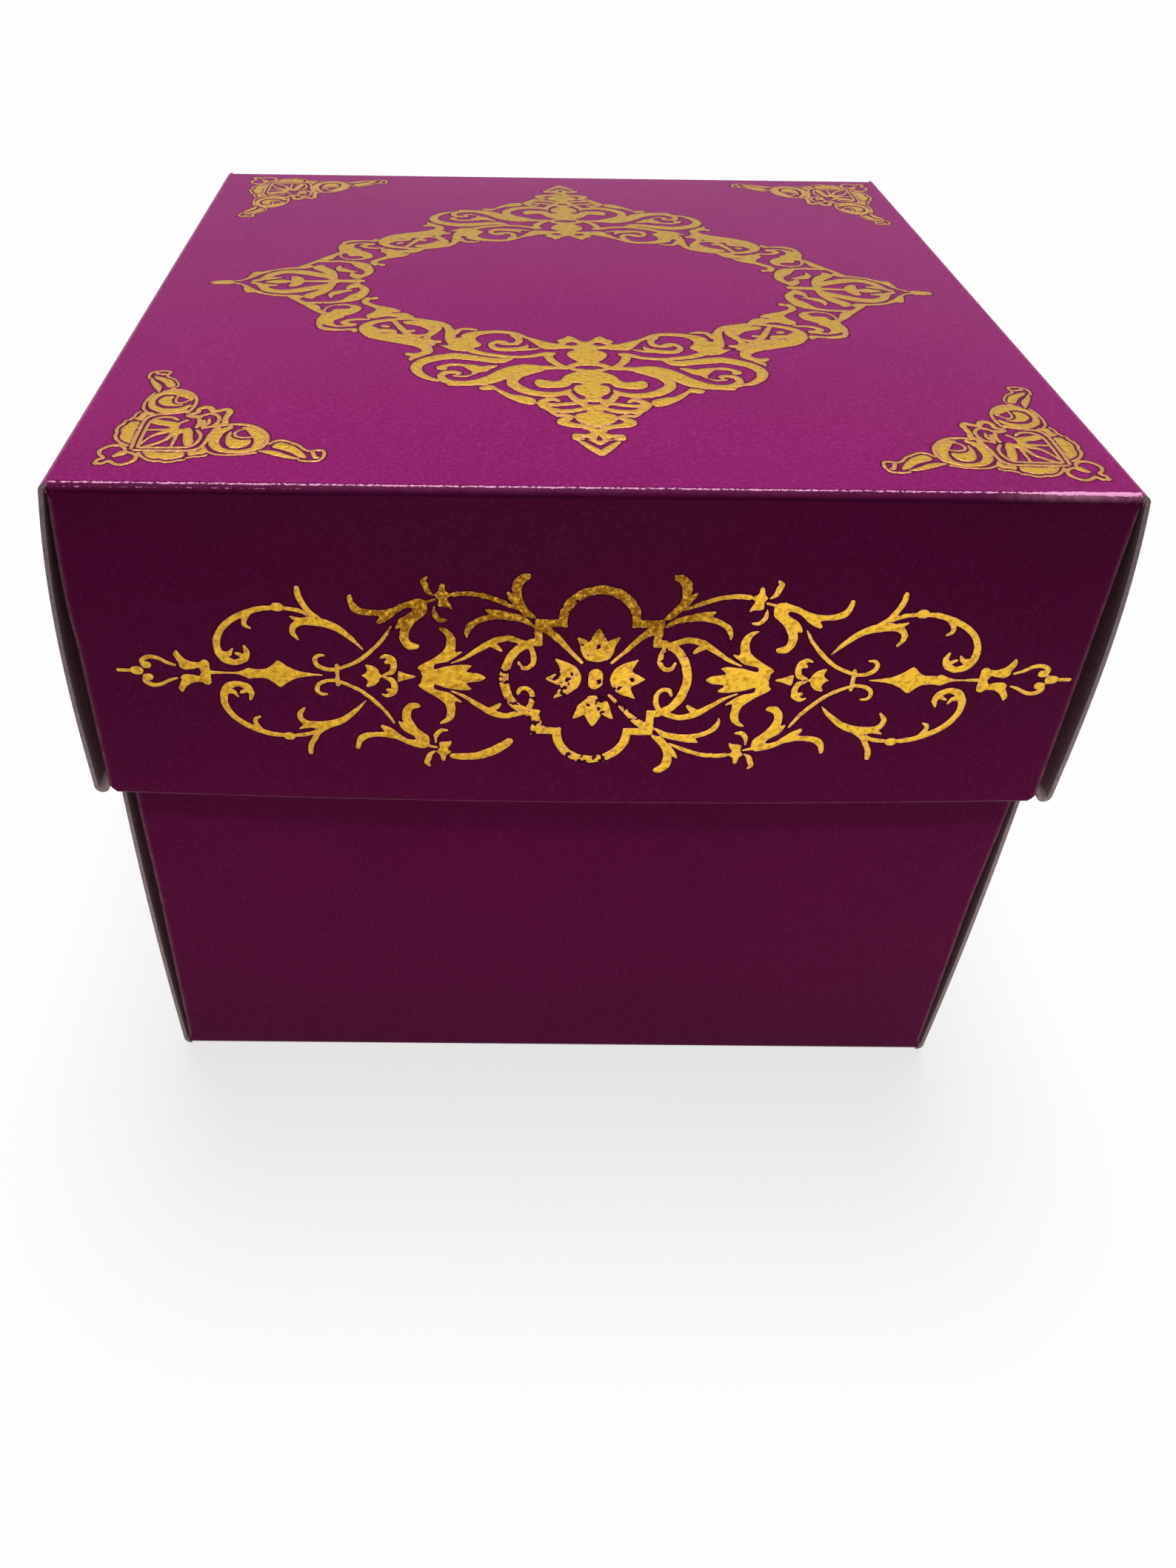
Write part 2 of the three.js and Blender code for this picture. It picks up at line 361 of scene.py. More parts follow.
# Six times the volume that the faces enclose, positive where they point outwards
def signedVolume(points, faces):
    a, b, c = points[faces[:, 0]], points[faces[:, 1]], points[faces[:, 2]]
    volume = np.einsum("ij,ij->i", a, np.cross(b, c)).sum()
    if faces.shape[1] == 4:
        d = points[faces[:, 3]]
        volume += np.einsum("ij,ij->i", a, np.cross(c, d)).sum()
    return volume


# Puts points in millimetres and faces into a new object in metres, with one material number for each face
def meshFrom(name, points, faces, slots, materials, fields=None):
    mesh = bpy.data.meshes.new(name)
    mesh.from_pydata((points / perMetre).tolist(), [], faces.tolist())
    for material in materials:
        mesh.materials.append(material)
    mesh.polygons.foreach_set("material_index", np.asarray(slots, np.int32))
    mesh.polygons.foreach_set("use_smooth", np.ones(len(faces), bool))
    mesh.set_sharp_from_angle(angle=math.radians(35))
    for field, values in (fields or {}).items():
        attribute = mesh.attributes.new(field, "FLOAT", "POINT")
        attribute.data.foreach_set("value", np.asarray(values, np.float32))
    mesh.validate()
    piece = bpy.data.objects.new(name, mesh)
    bpy.context.scene.collection.objects.link(piece)
    return piece


# Closed sheet of board from its printed face and its back, two grids of points that match one to one
def sheetPiece(name, printed, back, fields, body, nodes):
    count = printed.shape[0] * printed.shape[1]
    index = np.arange(count).reshape(printed.shape[:2])
    border = np.concatenate([index[0, :-1], index[:-1, -1], index[-1, :0:-1], index[:0:-1, 0]])
    following = np.roll(border, -1)
    edge = np.stack([following, border, border + count, following + count], -1)
    outside, inside = quadsOf(index)[:, ::-1], quadsOf(index) + count
    faces = np.concatenate([outside, inside, edge])
    points = np.concatenate([printed.reshape(-1, 3), back.reshape(-1, 3)])
    if signedVolume(points - points.mean(0), faces) < 0:
        faces = faces[:, ::-1]
    slots = np.repeat([0, 1, 2], [len(outside), len(inside), len(edge)])
    both = {field: np.tile(values.reshape(-1), 2) for field, values in fields.items()}
    piece = meshFrom(name, points, faces, slots, [laminate, boardBack, cutEdge], both)
    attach(piece, body)
    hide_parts(*nodes)
    return piece


# Lean of a side wall at s, a cubic from the crease at 0 to the rim at 1
def leanAt(s, handles):
    low, high, rim = handles
    return 3 * (1 - s) ** 2 * s * low + 3 * (1 - s) * s ** 2 * high + s ** 3 * rim


def baseLean(s):
    return leanAt(s, box["baseSpring"])


# Lean of the lid's linings, pushed out by the base's walls behind them
def baseLeanBehindLid(s):
    return baseLean((box["height"] - s * box["lidDepth"]) / box["height"]) - baseLean(1.0)


def lidLean(s):
    return baseLeanBehindLid(s) + leanAt(s, box["lidSpring"])


trays = {
    "base": {
        "half": baseHalf, "panelZ": 0.0, "up": 1, "depth": box["height"] - box["board"] - box["lidRest"],
        "crown": 0.0, "rimBow": box["baseRimBow"], "flapLength": box["baseFlapLength"],
        "panel": "floor", "wallLean": baseLean, "liningLean": lambda s: box["liningShare"] * baseLean(s),
        "crackGlint": {"front": 0.0, "back": 0.0},
        # share of the side wall's lean that the upright corners follow, by the panel and by the rim
        "corner": {"left": (0.2, 0.45), "right": (0.38, 0.93)},
    },
    "lid": {
        "half": lidHalf, "panelZ": box["height"], "up": -1, "depth": box["lidDepth"],
        "crown": box["crown"], "rimBow": box["lidRimBow"], "flapLength": box["lidFlapLength"],
        "panel": "top", "wallLean": lidLean, "liningLean": baseLeanBehindLid,
        "crackGlint": {"front": 1.0, "back": 0.8},
        "corner": {"left": (0.42, 0.2), "right": (0.05, 0.05)},
    },
}


# Quarter or half turn round a centre, angles in quarter turns
def turn(centre, radius, start, end, count):
    angle = np.linspace(start, end, count) * math.pi / 2
    return np.stack([centre[0] + radius * np.cos(angle), centre[1] + radius * np.sin(angle)], -1)


# The back of the board lies its thickness behind the printed face, square to the path
def backOf(path, hand):
    tangent = np.gradient(path, axis=0)
    tangent /= np.linalg.norm(tangent, axis=1, keepdims=True)
    return path - hand * box["board"] * np.stack([tangent[:, 1], -tangent[:, 0]], -1)


# From -1 to 1, ever closer together towards both ends
def acrossEnds(count):
    return np.sin(np.linspace(-math.pi / 2, math.pi / 2, count))


facets = {
    "bead": 25, "wall": 44, "rim": 19, "lining": 30, "length": 49, "panel": 61,
    "flap": 25, "flapSplay": 12, "flapEnd": 8,
}


# Faces and heights of a tray's left and right sides, as in the part
def sideLevels(tray):
    wallFace = tray["half"] + box["layerGap"] + box["board"]
    liningFace = tray["half"] - foldedLayers
    rimOuter, rimInner = wallFace + tray["wallLean"](1.0), liningFace + tray["liningLean"](1.0)
    rimRadius = (rimOuter - rimInner) / 2
    return {
        "wallFace": wallFace,
        "liningFace": liningFace,
        "rimInner": rimInner,
        "rimRadius": rimRadius,
        "rimZ": tray["panelZ"] + tray["up"] * (tray["depth"] - rimRadius),
        "creaseZ": tray["panelZ"] + tray["up"] * box["creaseRadius"],
    }


# Share of the way from the crease to the rim
def shareAt(tray, z):
    levels = sideLevels(tray)
    return ramp(z, levels["creaseZ"], levels["rimZ"])


# How far an upright corner is drawn outwards with its side wall. Its share of the lean changes over a quarter
# of the way to the rim.
def cornerLean(tray, sideName, z):
    first, second = tray["corner"][sideName]
    s = shareAt(tray, z)
    return (first + (second - first) * easedRamp(s, 0.3, 0.55)) * tray["wallLean"](s)


# One strip of board from the panel's crease up the wall, over the rim and back down as the lining.
# The path is bead, wall, half turn and lining in turn; across it the strip is as long as each part is cut.
def stripPath(tray, face, wallLean, liningFace, liningLean, rimRadius, rimZ):
    radius, up, panelZ = box["creaseRadius"], tray["up"], tray["panelZ"]
    creaseZ = panelZ + up * radius
    stopZ = panelZ + up * (box["board"] + box["liningStop"])
    bead = turn((face - radius, creaseZ), radius, -up, 0, facets["bead"])
    s = np.linspace(0, 1, facets["wall"])[1:]
    wall = np.stack([face + wallLean(s), creaseZ + s * (rimZ - creaseZ)], -1)
    rim = turn((face + wallLean(1.0) - rimRadius, rimZ), rimRadius, 0, 2 * up, facets["rim"])[1:]
    z = np.linspace(rimZ, stopZ, facets["lining"])[1:]
    lining = np.stack([liningFace + liningLean((z - creaseZ) / (rimZ - creaseZ)), z], -1)
    part = np.repeat([0, 1, 2, 3], [len(bead), len(wall), len(rim), len(lining)])
    return np.concatenate([bead, wall, rim, lining]), part


# Wear and painted light of a strip, by how far round its bead or rim a point lies and by its place along it.
# Both folds are rubbed, with a painted highlight in the scuffs, the bead most in the middle of its turn. A
# broken bead gets painted shade all round. A painted highlight runs along it in dashes where its film breaks,
# in a row that widens and strengthens towards the right end as painted glare, in a second row towards the
# left, and at both corners.
def stripWear(tray, part, along, crackGlint):
    turned = np.zeros((len(part), 1))
    for fold in (0, 2):
        turned[part == fold, 0] = np.linspace(0, 1, (part == fold).sum())
    onBead, onRim = (part == 0)[:, None], (part == 2)[:, None]
    arch = onBead * np.sin(math.pi * turned)

    dentGlare = wear["dentGlare"] * ramp(along, *wear["dentAlong"])
    bead = wear["bead"] + crackGlint * (dentGlare - wear["beadSpared"])
    rubbed = bead * arch ** 2 + wear["rim"] * onRim * bell(turned, *wear["rimTurn"])

    # rows of painted highlight along the bead, wider and stronger towards the right end as painted glare
    middle, width = wear["firstRow"]
    first = bell(turned, middle, width + wear["firstWider"] * ramp(along, *wear["firstWiderAlong"]))
    second = wear["second"] * ramp(along, *wear["secondAlong"]) * bell(turned, *wear["secondRow"])
    rows = np.maximum(first, second) * (1 + wear["firstStronger"] * ramp(along, *wear["firstStrongerAlong"]))
    corner = wear["corner"] * ramp(np.abs(along), tray["half"] - wear["cornerRun"], tray["half"])
    glintAlongCracks = crackGlint * onBead * np.maximum(rows, corner)

    # painted shade all round a broken bead
    paintedBeadShade = crackGlint * wear["paintedBeadShade"] * np.clip(4 * arch, 0, 1)
    return {"rubbed": rubbed, "glintAlongCracks": glintAlongCracks, "paintedBeadShade": paintedBeadShade + 0 * along}


# The three nodes that one strip of board stands for
def stripNodes(name, wallName):
    return [f"{name}_{wallName}_{panel}" for panel in ("wall", "rim", "lining")]


# Left or right side. Its rim is shorter where it has to pass between the front's and the back's.
def makeSide(name, tray, sideName, sign):
    levels, half = sideLevels(tray), tray["half"]
    path, part = stripPath(
        tray, levels["wallFace"], tray["wallLean"], levels["liningFace"], tray["liningLean"],
        levels["rimRadius"], levels["rimZ"])
    rimPasses = levels["rimInner"] > half - box["creaseRadius"]
    wallHalf = half - box["wallEndStep"]
    rimHalf = wallHalf if rimPasses else half - box["board"] - box["flapClearance"]
    liningHalf = half - box["sideLiningInset"] - box["sideLiningTaper"] * (1 - shareAt(tray, path[:, 1]))
    reach = np.select([part < 2, part == 2], [wallHalf, rimHalf], liningHalf)[:, None]
    along = reach * acrossEnds(facets["length"])

    def placed(line):
        return np.stack(np.broadcast_arrays(sign * line[:, 0, None], along, line[:, 1, None]), -1)

    fields = stripWear(tray, part, along, 0.0)
    # painted light on the back towards the wall's ends
    fields["paintedEndLight"] = ramp(np.abs(along), reach - wear["endLightRun"], reach) ** 1.5
    return sheetPiece(f"{name}{sideName.title()}Side", placed(path), placed(backOf(path, tray["up"])), fields,
                      name, stripNodes(name, sideName))


# Outward bow of a front or back wall: nothing at the crease and the corners, most at the middle of the rim
def bowAt(tray, x, z):
    radius = box["creaseRadius"]
    rise = np.clip((tray["up"] * (z - tray["panelZ"]) - radius) / (tray["depth"] - radius), 0, None)
    return tray["rimBow"] * rise * (2 - rise) * (1 - (x / (tray["half"] - radius)) ** 2)


# Front or back wall, rim and lining, which stand upright. By its crease the wall reaches out over the ends of
# the flaps, and towards the rim its corners are cut off at a slant.
def makeEnd(name, tray, endName, sign):
    half, rimRadius = tray["half"], foldedLayers / 2
    rimZ = tray["panelZ"] + tray["up"] * (tray["depth"] - rimRadius)
    path, part = stripPath(
        tray, half, np.zeros_like, half - foldedLayers, np.zeros_like, rimRadius, rimZ)
    rise = np.abs(path[:, 1] - tray["panelZ"])
    ear = np.clip(2 - rise / box["creaseRadius"], 0, 1) * (part < 2)
    wide, tall = box["rimSlant"]
    slant = np.where(part == 3, 1, ramp(rise, tray["depth"] - tall, tray["depth"]))
    reach = half - box["creaseRadius"] + box["earReach"] * ear - wide * slant
    left, right = (cornerLean(tray, sideName, path[:, 1])[:, None] for sideName in ("left", "right"))
    across = acrossEnds(facets["length"])
    x = (reach[:, None] + np.where(across < 0, left, right)) * across

    def placed(line):
        y, z = line[:, 0, None], line[:, 1, None]
        return np.stack(np.broadcast_arrays(x, sign * (y + bowAt(tray, x, z)), z), -1)

    fields = stripWear(tray, part, x, tray["crackGlint"][endName])
    return sheetPiece(f"{name}{endName.title()}End", placed(path), placed(backOf(path, tray["up"])), fields,
                      name, stripNodes(name, endName))


# Corner flap. In plan it turns round the upright crease and runs back behind the side wall, while a smooth
# step splays it out to the mean lean of the two layers round it, and its long edges taper. Over the first
# part of its turn the rim's end hangs further, to where the wall's own rim starts.
def makeFlap(name, tray, endName, endSign, sideName, sideSign):
    levels, half, up = sideLevels(tray), tray["half"], tray["up"]
    near = tray["panelZ"] + up * (box["board"] + box["flapClearance"])
    far = levels["rimZ"] - up * box["flapClearance"]
    height, middle = abs(far - near), (near + far) / 2
    hinge = half - box["creaseRadius"]
    bead = turn((hinge, hinge), box["creaseRadius"], 1, 0, facets["bead"])
    splayed = hinge - np.linspace(0, box["flapSplayRun"], facets["flapSplay"])[1:]
    straight = np.linspace(splayed[-1], half - tray["flapLength"], facets["flapEnd"])[1:]
    run = np.concatenate([splayed, straight])
    plan = np.concatenate([bead, np.stack([np.full(len(run), half), run], -1)])
    share = np.linspace(-0.5, 0.5, facets["flap"])
    drop = levels["rimRadius"] + box["flapClearance"] - foldedLayers / 2
    hang = drop * ramp(np.arange(len(plan))[:, None], 0.6 * len(bead), 0)

    def placed(line):
        back = np.clip(hinge - line[:, 1], 0, None)[:, None]
        z = middle + share * (height - 2 * box["flapTaper"] * back / tray["flapLength"])
        z = z + up * hang * (0.5 + up * share)
        splay = easedRamp(back, 0, box["flapSplayRun"])
        s = shareAt(tray, z)
        mean = (tray["wallLean"](s) + tray["liningLean"](s)) / 2
        x = line[:, 0, None] + (1 - splay) * cornerLean(tray, sideName, z) + splay * mean
        y = np.broadcast_to(line[:, 1, None], z.shape)
        return np.stack([sideSign * x, endSign * y, z], -1)

    # scuffs down the upright crease, with painted highlight
    rubbed = np.zeros((len(plan), len(share)))
    rubbed[:len(bead)] = bell(np.linspace(0, 1, len(bead)), *wear["upright"])[:, None]
    title = f"{name}{endName.title()}{sideName.title()}Flap"
    return sheetPiece(title, placed(plan), placed(backOf(plan, -1)), {"rubbed": rubbed}, name,
                      [f"{name}_{endName}_{sideName}_flap"])


# Lift of a panel inside its creases, the product of two parabolas
def crownAt(tray, x, y):
    halfX, halfY = panelHalves(tray)
    return tray["crown"] * (1 - (x / halfX) ** 2) * (1 - (y / halfY) ** 2)


def panelHalves(tray):
    halfY = tray["half"] - box["creaseRadius"]
    return tray["half"] + box["layerGap"] + box["board"] - box["creaseRadius"], halfY


# Top or floor panel inside its four creases
def makePanel(name, tray):
    halfX, halfY = panelHalves(tray)
    s = np.linspace(-1, 1, facets["panel"])
    x, y = np.meshgrid(halfX * s, halfY * s, indexing="ij")
    printed = np.stack([x, y, tray["panelZ"] - tray["up"] * crownAt(tray, x, y)], -1)
    back = printed + np.array([0, 0, tray["up"] * box["board"]])
    return sheetPiece(f"{name}{tray['panel'].title()}", printed, back, {"rubbed": 0 * x}, name,
                      [f"{name}_{tray['panel']}_panel"])


for name, tray in trays.items():
    makePanel(name, tray)
    for sideName, sideSign in (("left", -1), ("right", 1)):
        makeSide(name, tray, sideName, sideSign)
    for endName, endSign in (("front", -1), ("back", 1)):
        makeEnd(name, tray, endName, endSign)
        for sideName, sideSign in (("left", -1), ("right", 1)):
            makeFlap(name, tray, endName, endSign, sideName, sideSign)
print("board sheets folded")


# Ornament in quarter view, mirrored about both axes: u runs out from the centre, v down from it.
# A stroke is (u, v, half its width) at each point, a leaf and a cut are closed outlines.
sideBand = {
    "strokes": [
        [(0, 0, .75), (0, .55, .7)],  # centre bead
        # frame lobe over the centre, and the rings beside it
        [(0, 10.45, .48), (1.35, 10.2, .48), (2.5, 9.45, .48), (3.3, 8.3, .46), (3.55, 7.3, .44),
         (3.6, 6.75, .42)],
        [(6.48, 4.32, .45), (7.73, 3.6, .45), (8.62, 2.36, .45), (9.07, .75, .45), (9.12, 0, .45)],
        [(6.66, 3.96, .28), (6.27, 2.9, .28), (6.3, 1.82, .26), (6.84, 1.25, .26), (7.43, 1.32, .24),
         (7.73, 1.96, .15)],
        [(1.48, 2, .15), (2.91, 3.6, .25), (4.16, 5.04, .35), (5.77, 6.29, .5)],
        # vines from the ring
        [(8.09, 8.25, .12), (9.5, 8.95, .24), (11.3, 9.65, .26), (13, 9.85, .27), (14.1, 9.75, .25)],
        [(7.38, 4.32, .35), (8.8, 4.8, .33), (10.23, 4.41, .4), (11.66, 3.43, .3), (13.09, 2.36, .2),
         (14.34, 1.73, .1)],
        [(9.5, 3.3, .15), (9.87, 3.7, .3), (10.6, 4.1, .3)],
        # hooks round the star of leaves
        [(14.8, 6.8, .12), (15.4, 6.8, .25), (15.9, 7.36, .25), (16, 8, .15), (15.98, 8.46, .06)],
        [(16.1, 9.64, .1), (16.6, 10.04, .25), (16.8, 10.66, .3), (17, 11.2, .25), (16.66, 11.6, .12)],
        [(15.9, 9.1, .12), (16.66, 8.9, .18)],
        # small flower's curl
        [(21.03, .2, .15), (20.3, .48, .3), (20.05, 1.2, .32), (20.2, 2, .35), (20.8, 2.45, .25),
         (21.3, 2.27, .12)],
        [(20.5, 1.8, .25), (20.75, 1.72, .22)],
        # crossing stems and their knot
        [(20.2, 5.96, .12), (21.1, 4.4, .2), (22.55, 2.7, .22), (23.8, 1.64, .22), (25.4, .84, .2)],
        [(25.7, 0, .2), (25.7, 1.2, .2)],
        [(26, .66, .2), (26.9, .75, .22), (27.66, 1.2, .25), (27.85, 1.9, .22), (27.5, 2.36, .18),
         (26.9, 2.4, .12)],
        # long leaf and its tail
        [(23, 3.16, .05), (24.05, 4.4, .25), (25.3, 5.57, .35), (26.55, 6.2, .45), (28, 6.46, .5),
         (29.05, 6.3, .4), (29.7, 5.75, .3), (29.8, 5.04, .28), (29.3, 4.23, .12)],
        [(29.05, 6.5, .35), (29.95, 6.96, .08)],
        [(26.9, 6.46, .3), (28, 7.36, .3), (28.6, 8.43, .3), (28.96, 9.3, .3), (29.05, 10.2, .25)],
        [(28.3, 7.2, .15), (29.2, 7.7, .25), (30.5, 7.9, .2)],
        [(31, 8, .5), (31.2, 8, .5)],
        # outer scroll
        [(31.6, 7.9, .25), (32.8, 7.77, .3), (34.2, 7.27, .32), (35.66, 6.43, .33), (36.7, 5.4, .33),
         (37.35, 3.96, .35), (37.3, 2.6, .4), (36.7, 1.64, .42), (35.75, 1.32, .35), (34.85, 1.73, .38),
         (34.5, 2.54, .3), (34.7, 3.34, .12)],
        [(36.9, 2.36, .3), (36.3, 2.36, .28), (35.9, 2.98, .1)],
        [(35.1, 2.2, .25), (35.6, 2.45, .15)],
        [(33.9, 7.2, .2), (34.4, 6.4, .25), (34.4, 5.84, .22), (33.9, 5.5, .1)],
        # end piece
        [(38.84, 0, .45), (38.84, 1.1, .45)],
        [(41.8, .8, .12), (42.6, 1.1, .2), (43.5, 1.64, .22), (44.4, 1.75, .25), (45.1, 1.3, .25),
         (45, .66, .25)],
        [(44.6, .75, .42), (44.8, .75, .42)],
        [(45.6, 0, .52), (45.9, 0, .5)],
        [(45.9, 0, .22), (47.6, 0, .2)],
    ],
    "leaves": [
        # leaves of the four-leaved flower
        [(0, 6), (.55, 5.2), (.9, 4.5), (1.3, 4.75), (2.1, 5.05), (1.75, 4), (1.6, 3.3), (1.1, 2.4),
         (0, 2.05)],
        [(4.96, 0), (4.3, .5), (3.6, .95), (3.8, 1.7), (4.15, 2.45), (3.3, 2.15), (2.6, 1.85), (1.9, 1.3),
         (1.4, 0)],
        # leaves under the frame's corner
        [(6.12, 7.18), (7.2, 8.6), (7.64, 9.68), (7.55, 10.93), (6.84, 11.64), (6.84, 12.09), (7.55, 12.18),
         (8.36, 11.46), (8.59, 10.57), (8.54, 9.95), (9.16, 10.25), (8.71, 9.14), (7.91, 8.16), (7.2, 7.36)],
        [(6.3, 6.11), (7.73, 6.73), (9.52, 7), (10.95, 6.82), (12.02, 6.29), (12.64, 5.39), (12.82, 4.68),
         (13.09, 5.39), (12.73, 6.46), (11.66, 7.18), (10.77, 7.54), (11.13, 8.11), (9.88, 8.07),
         (8.45, 7.71),
         (7.2, 7.27)],
        # lotus and its sweeping side leaf
        [(10.94, 0), (11.66, .48), (12.91, .7), (12.32, 1.43), (13.09, 1.59), (14.5, 1.43), (15.95, .96),
         (16.6, .9), (17.2, 0)],
        [(15.95, .6), (17.2, .04), (17.4, .75), (17.7, 1.07), (17.4, 1.46), (16.3, 2.18), (15.1, 3.25),
         (14.8, 4.3), (14.96, 5.2), (15.6, 5.9), (14.9, 5.84), (14.16, 5.2), (13.94, 4.3), (14, 3.07),
         (13.27, 3.2), (13.6, 2.75), (14.7, 1.9), (15.95, 1.55), (16.1, 1.1)],
        [(17.9, 0), (18.8, .33), (19.66, .66), (19.7, 0)],
        [(21.1, 0), (21.5, .3), (21.57, .66), (22.1, 1.2), (22.9, 1.4), (22.7, .75), (22.9, .3), (23.35, 0)],
        # forked leaf
        [(16.66, 8.07), (16.84, 7.54), (17.9, 6.46), (18.5, 5.2), (18.4, 4.3), (18.1, 4.05), (17.5, 3.8),
         (17.7, 3.34), (18.6, 3.34), (19.25, 4.14), (19.4, 5.04), (19.3, 5.84), (19.8, 5.7), (19.6, 6.4),
         (19.2, 7), (18.2, 7.7), (18.1, 8.16), (19, 8), (19.9, 7.2), (20.6, 6.6), (21.5, 6.2), (21.6, 6.55),
         (21.3, 7.1), (22.2, 7.2), (23.3, 7.36), (24, 7.9), (24.3, 9.05), (24.2, 9.5), (23.9, 9.5),
         (23.6, 8.6), (22.9, 8), (21.7, 7.8), (20.2, 8.07), (19, 8.7), (17.7, 9.2), (17, 9.14), (16.66, 8.6)],
        # star of small leaves
        [(14.3, 8.07), (14.7, 8.3), (15.6, 8.4), (15.6, 9.14), (15.9, 9.7), (15.6, 10.07), (15.4, 10.84),
         (15.05, 10.84), (14.9, 10.1), (14.3, 9.7), (14.75, 9.3), (14.4, 8.6)],
        # long lozenge on the axis, and the arms of the end piece
        [(27.1, 0), (28.2, .16), (29.6, .43), (30.66, 1), (31.5, 1.65), (32.1, 1.1), (32.8, .6), (34.05, .55),
         (34.5, .7), (35.1, .4), (35.8, .15), (37.1, .12), (38.25, .22), (38.7, 0)],
        [(38.4, 1), (38.8, 1.25), (40, 1.25), (40.8, 1.64), (41.3, 2.36), (41.5, 2.68), (41.8, 2.18),
         (41.7, 1.73), (41.4, 1.1), (41.4, .66), (41, .3), (40.1, .36), (39.5, .54), (39.3, .2)],
    ],
    # shapes with sharp corners: the frame's bars between lobe and ring
    "plates": [[(3.15, 6.2), (5.4, 6.2), (5.4, 3.9), (6.6, 3.9), (6.6, 4.75), (6.25, 4.75), (6.25, 7.1),
                (3.15, 7.1)]],
    # only on the front: strokes that replace the lower left ones, and where foil is missing there
    "brush": [[(-14.2, 10.2, .35), (-13.2, 10.3, .42), (-11.5, 10.1, .5), (-10, 9.4, .55), (-8.9, 8.6, .5),
               (-8.4, 8.1, .4)]],
    "missing": [
        [(-.6, 2.3), (-1.3, 1.1), (-1.9, 1.2), (-5.2, 4.6), (-5.2, 6), (-4.2, 6)],
        [(-6.3, 5.6), (-6.3, 7.2), (-5.6, 7.2), (-6.2, 12.6), (-9.3, 12.6), (-14.4, 11), (-14.4, 9.1),
         (-13, 8.6),
         (-13.5, 6.6), (-13.5, 4.6), (-12.6, 4.3), (-11.5, 5.1), (-8.5, 5.7)],
    ],
    "rubbed": [(-3.4, 0, 2.6, .39), (.5, 2.9, 2.4, .38), (-.4, 9.9, 3.6, .38), (-7.2, 3.4, 2.6, .33),
               (-8.6, -.5, 2.8, .34), (2.2, .6, 2.6, .34), (0, 0, 1.4, .33), (-.3, -3.6, 2.4, .3),
               (3.4, 4.2, 2.6, .33), (-5.6, 6.4, 2.2, .38), (6, -3, 3, .3), (-2.6, -8.4, 3, .3)],
}

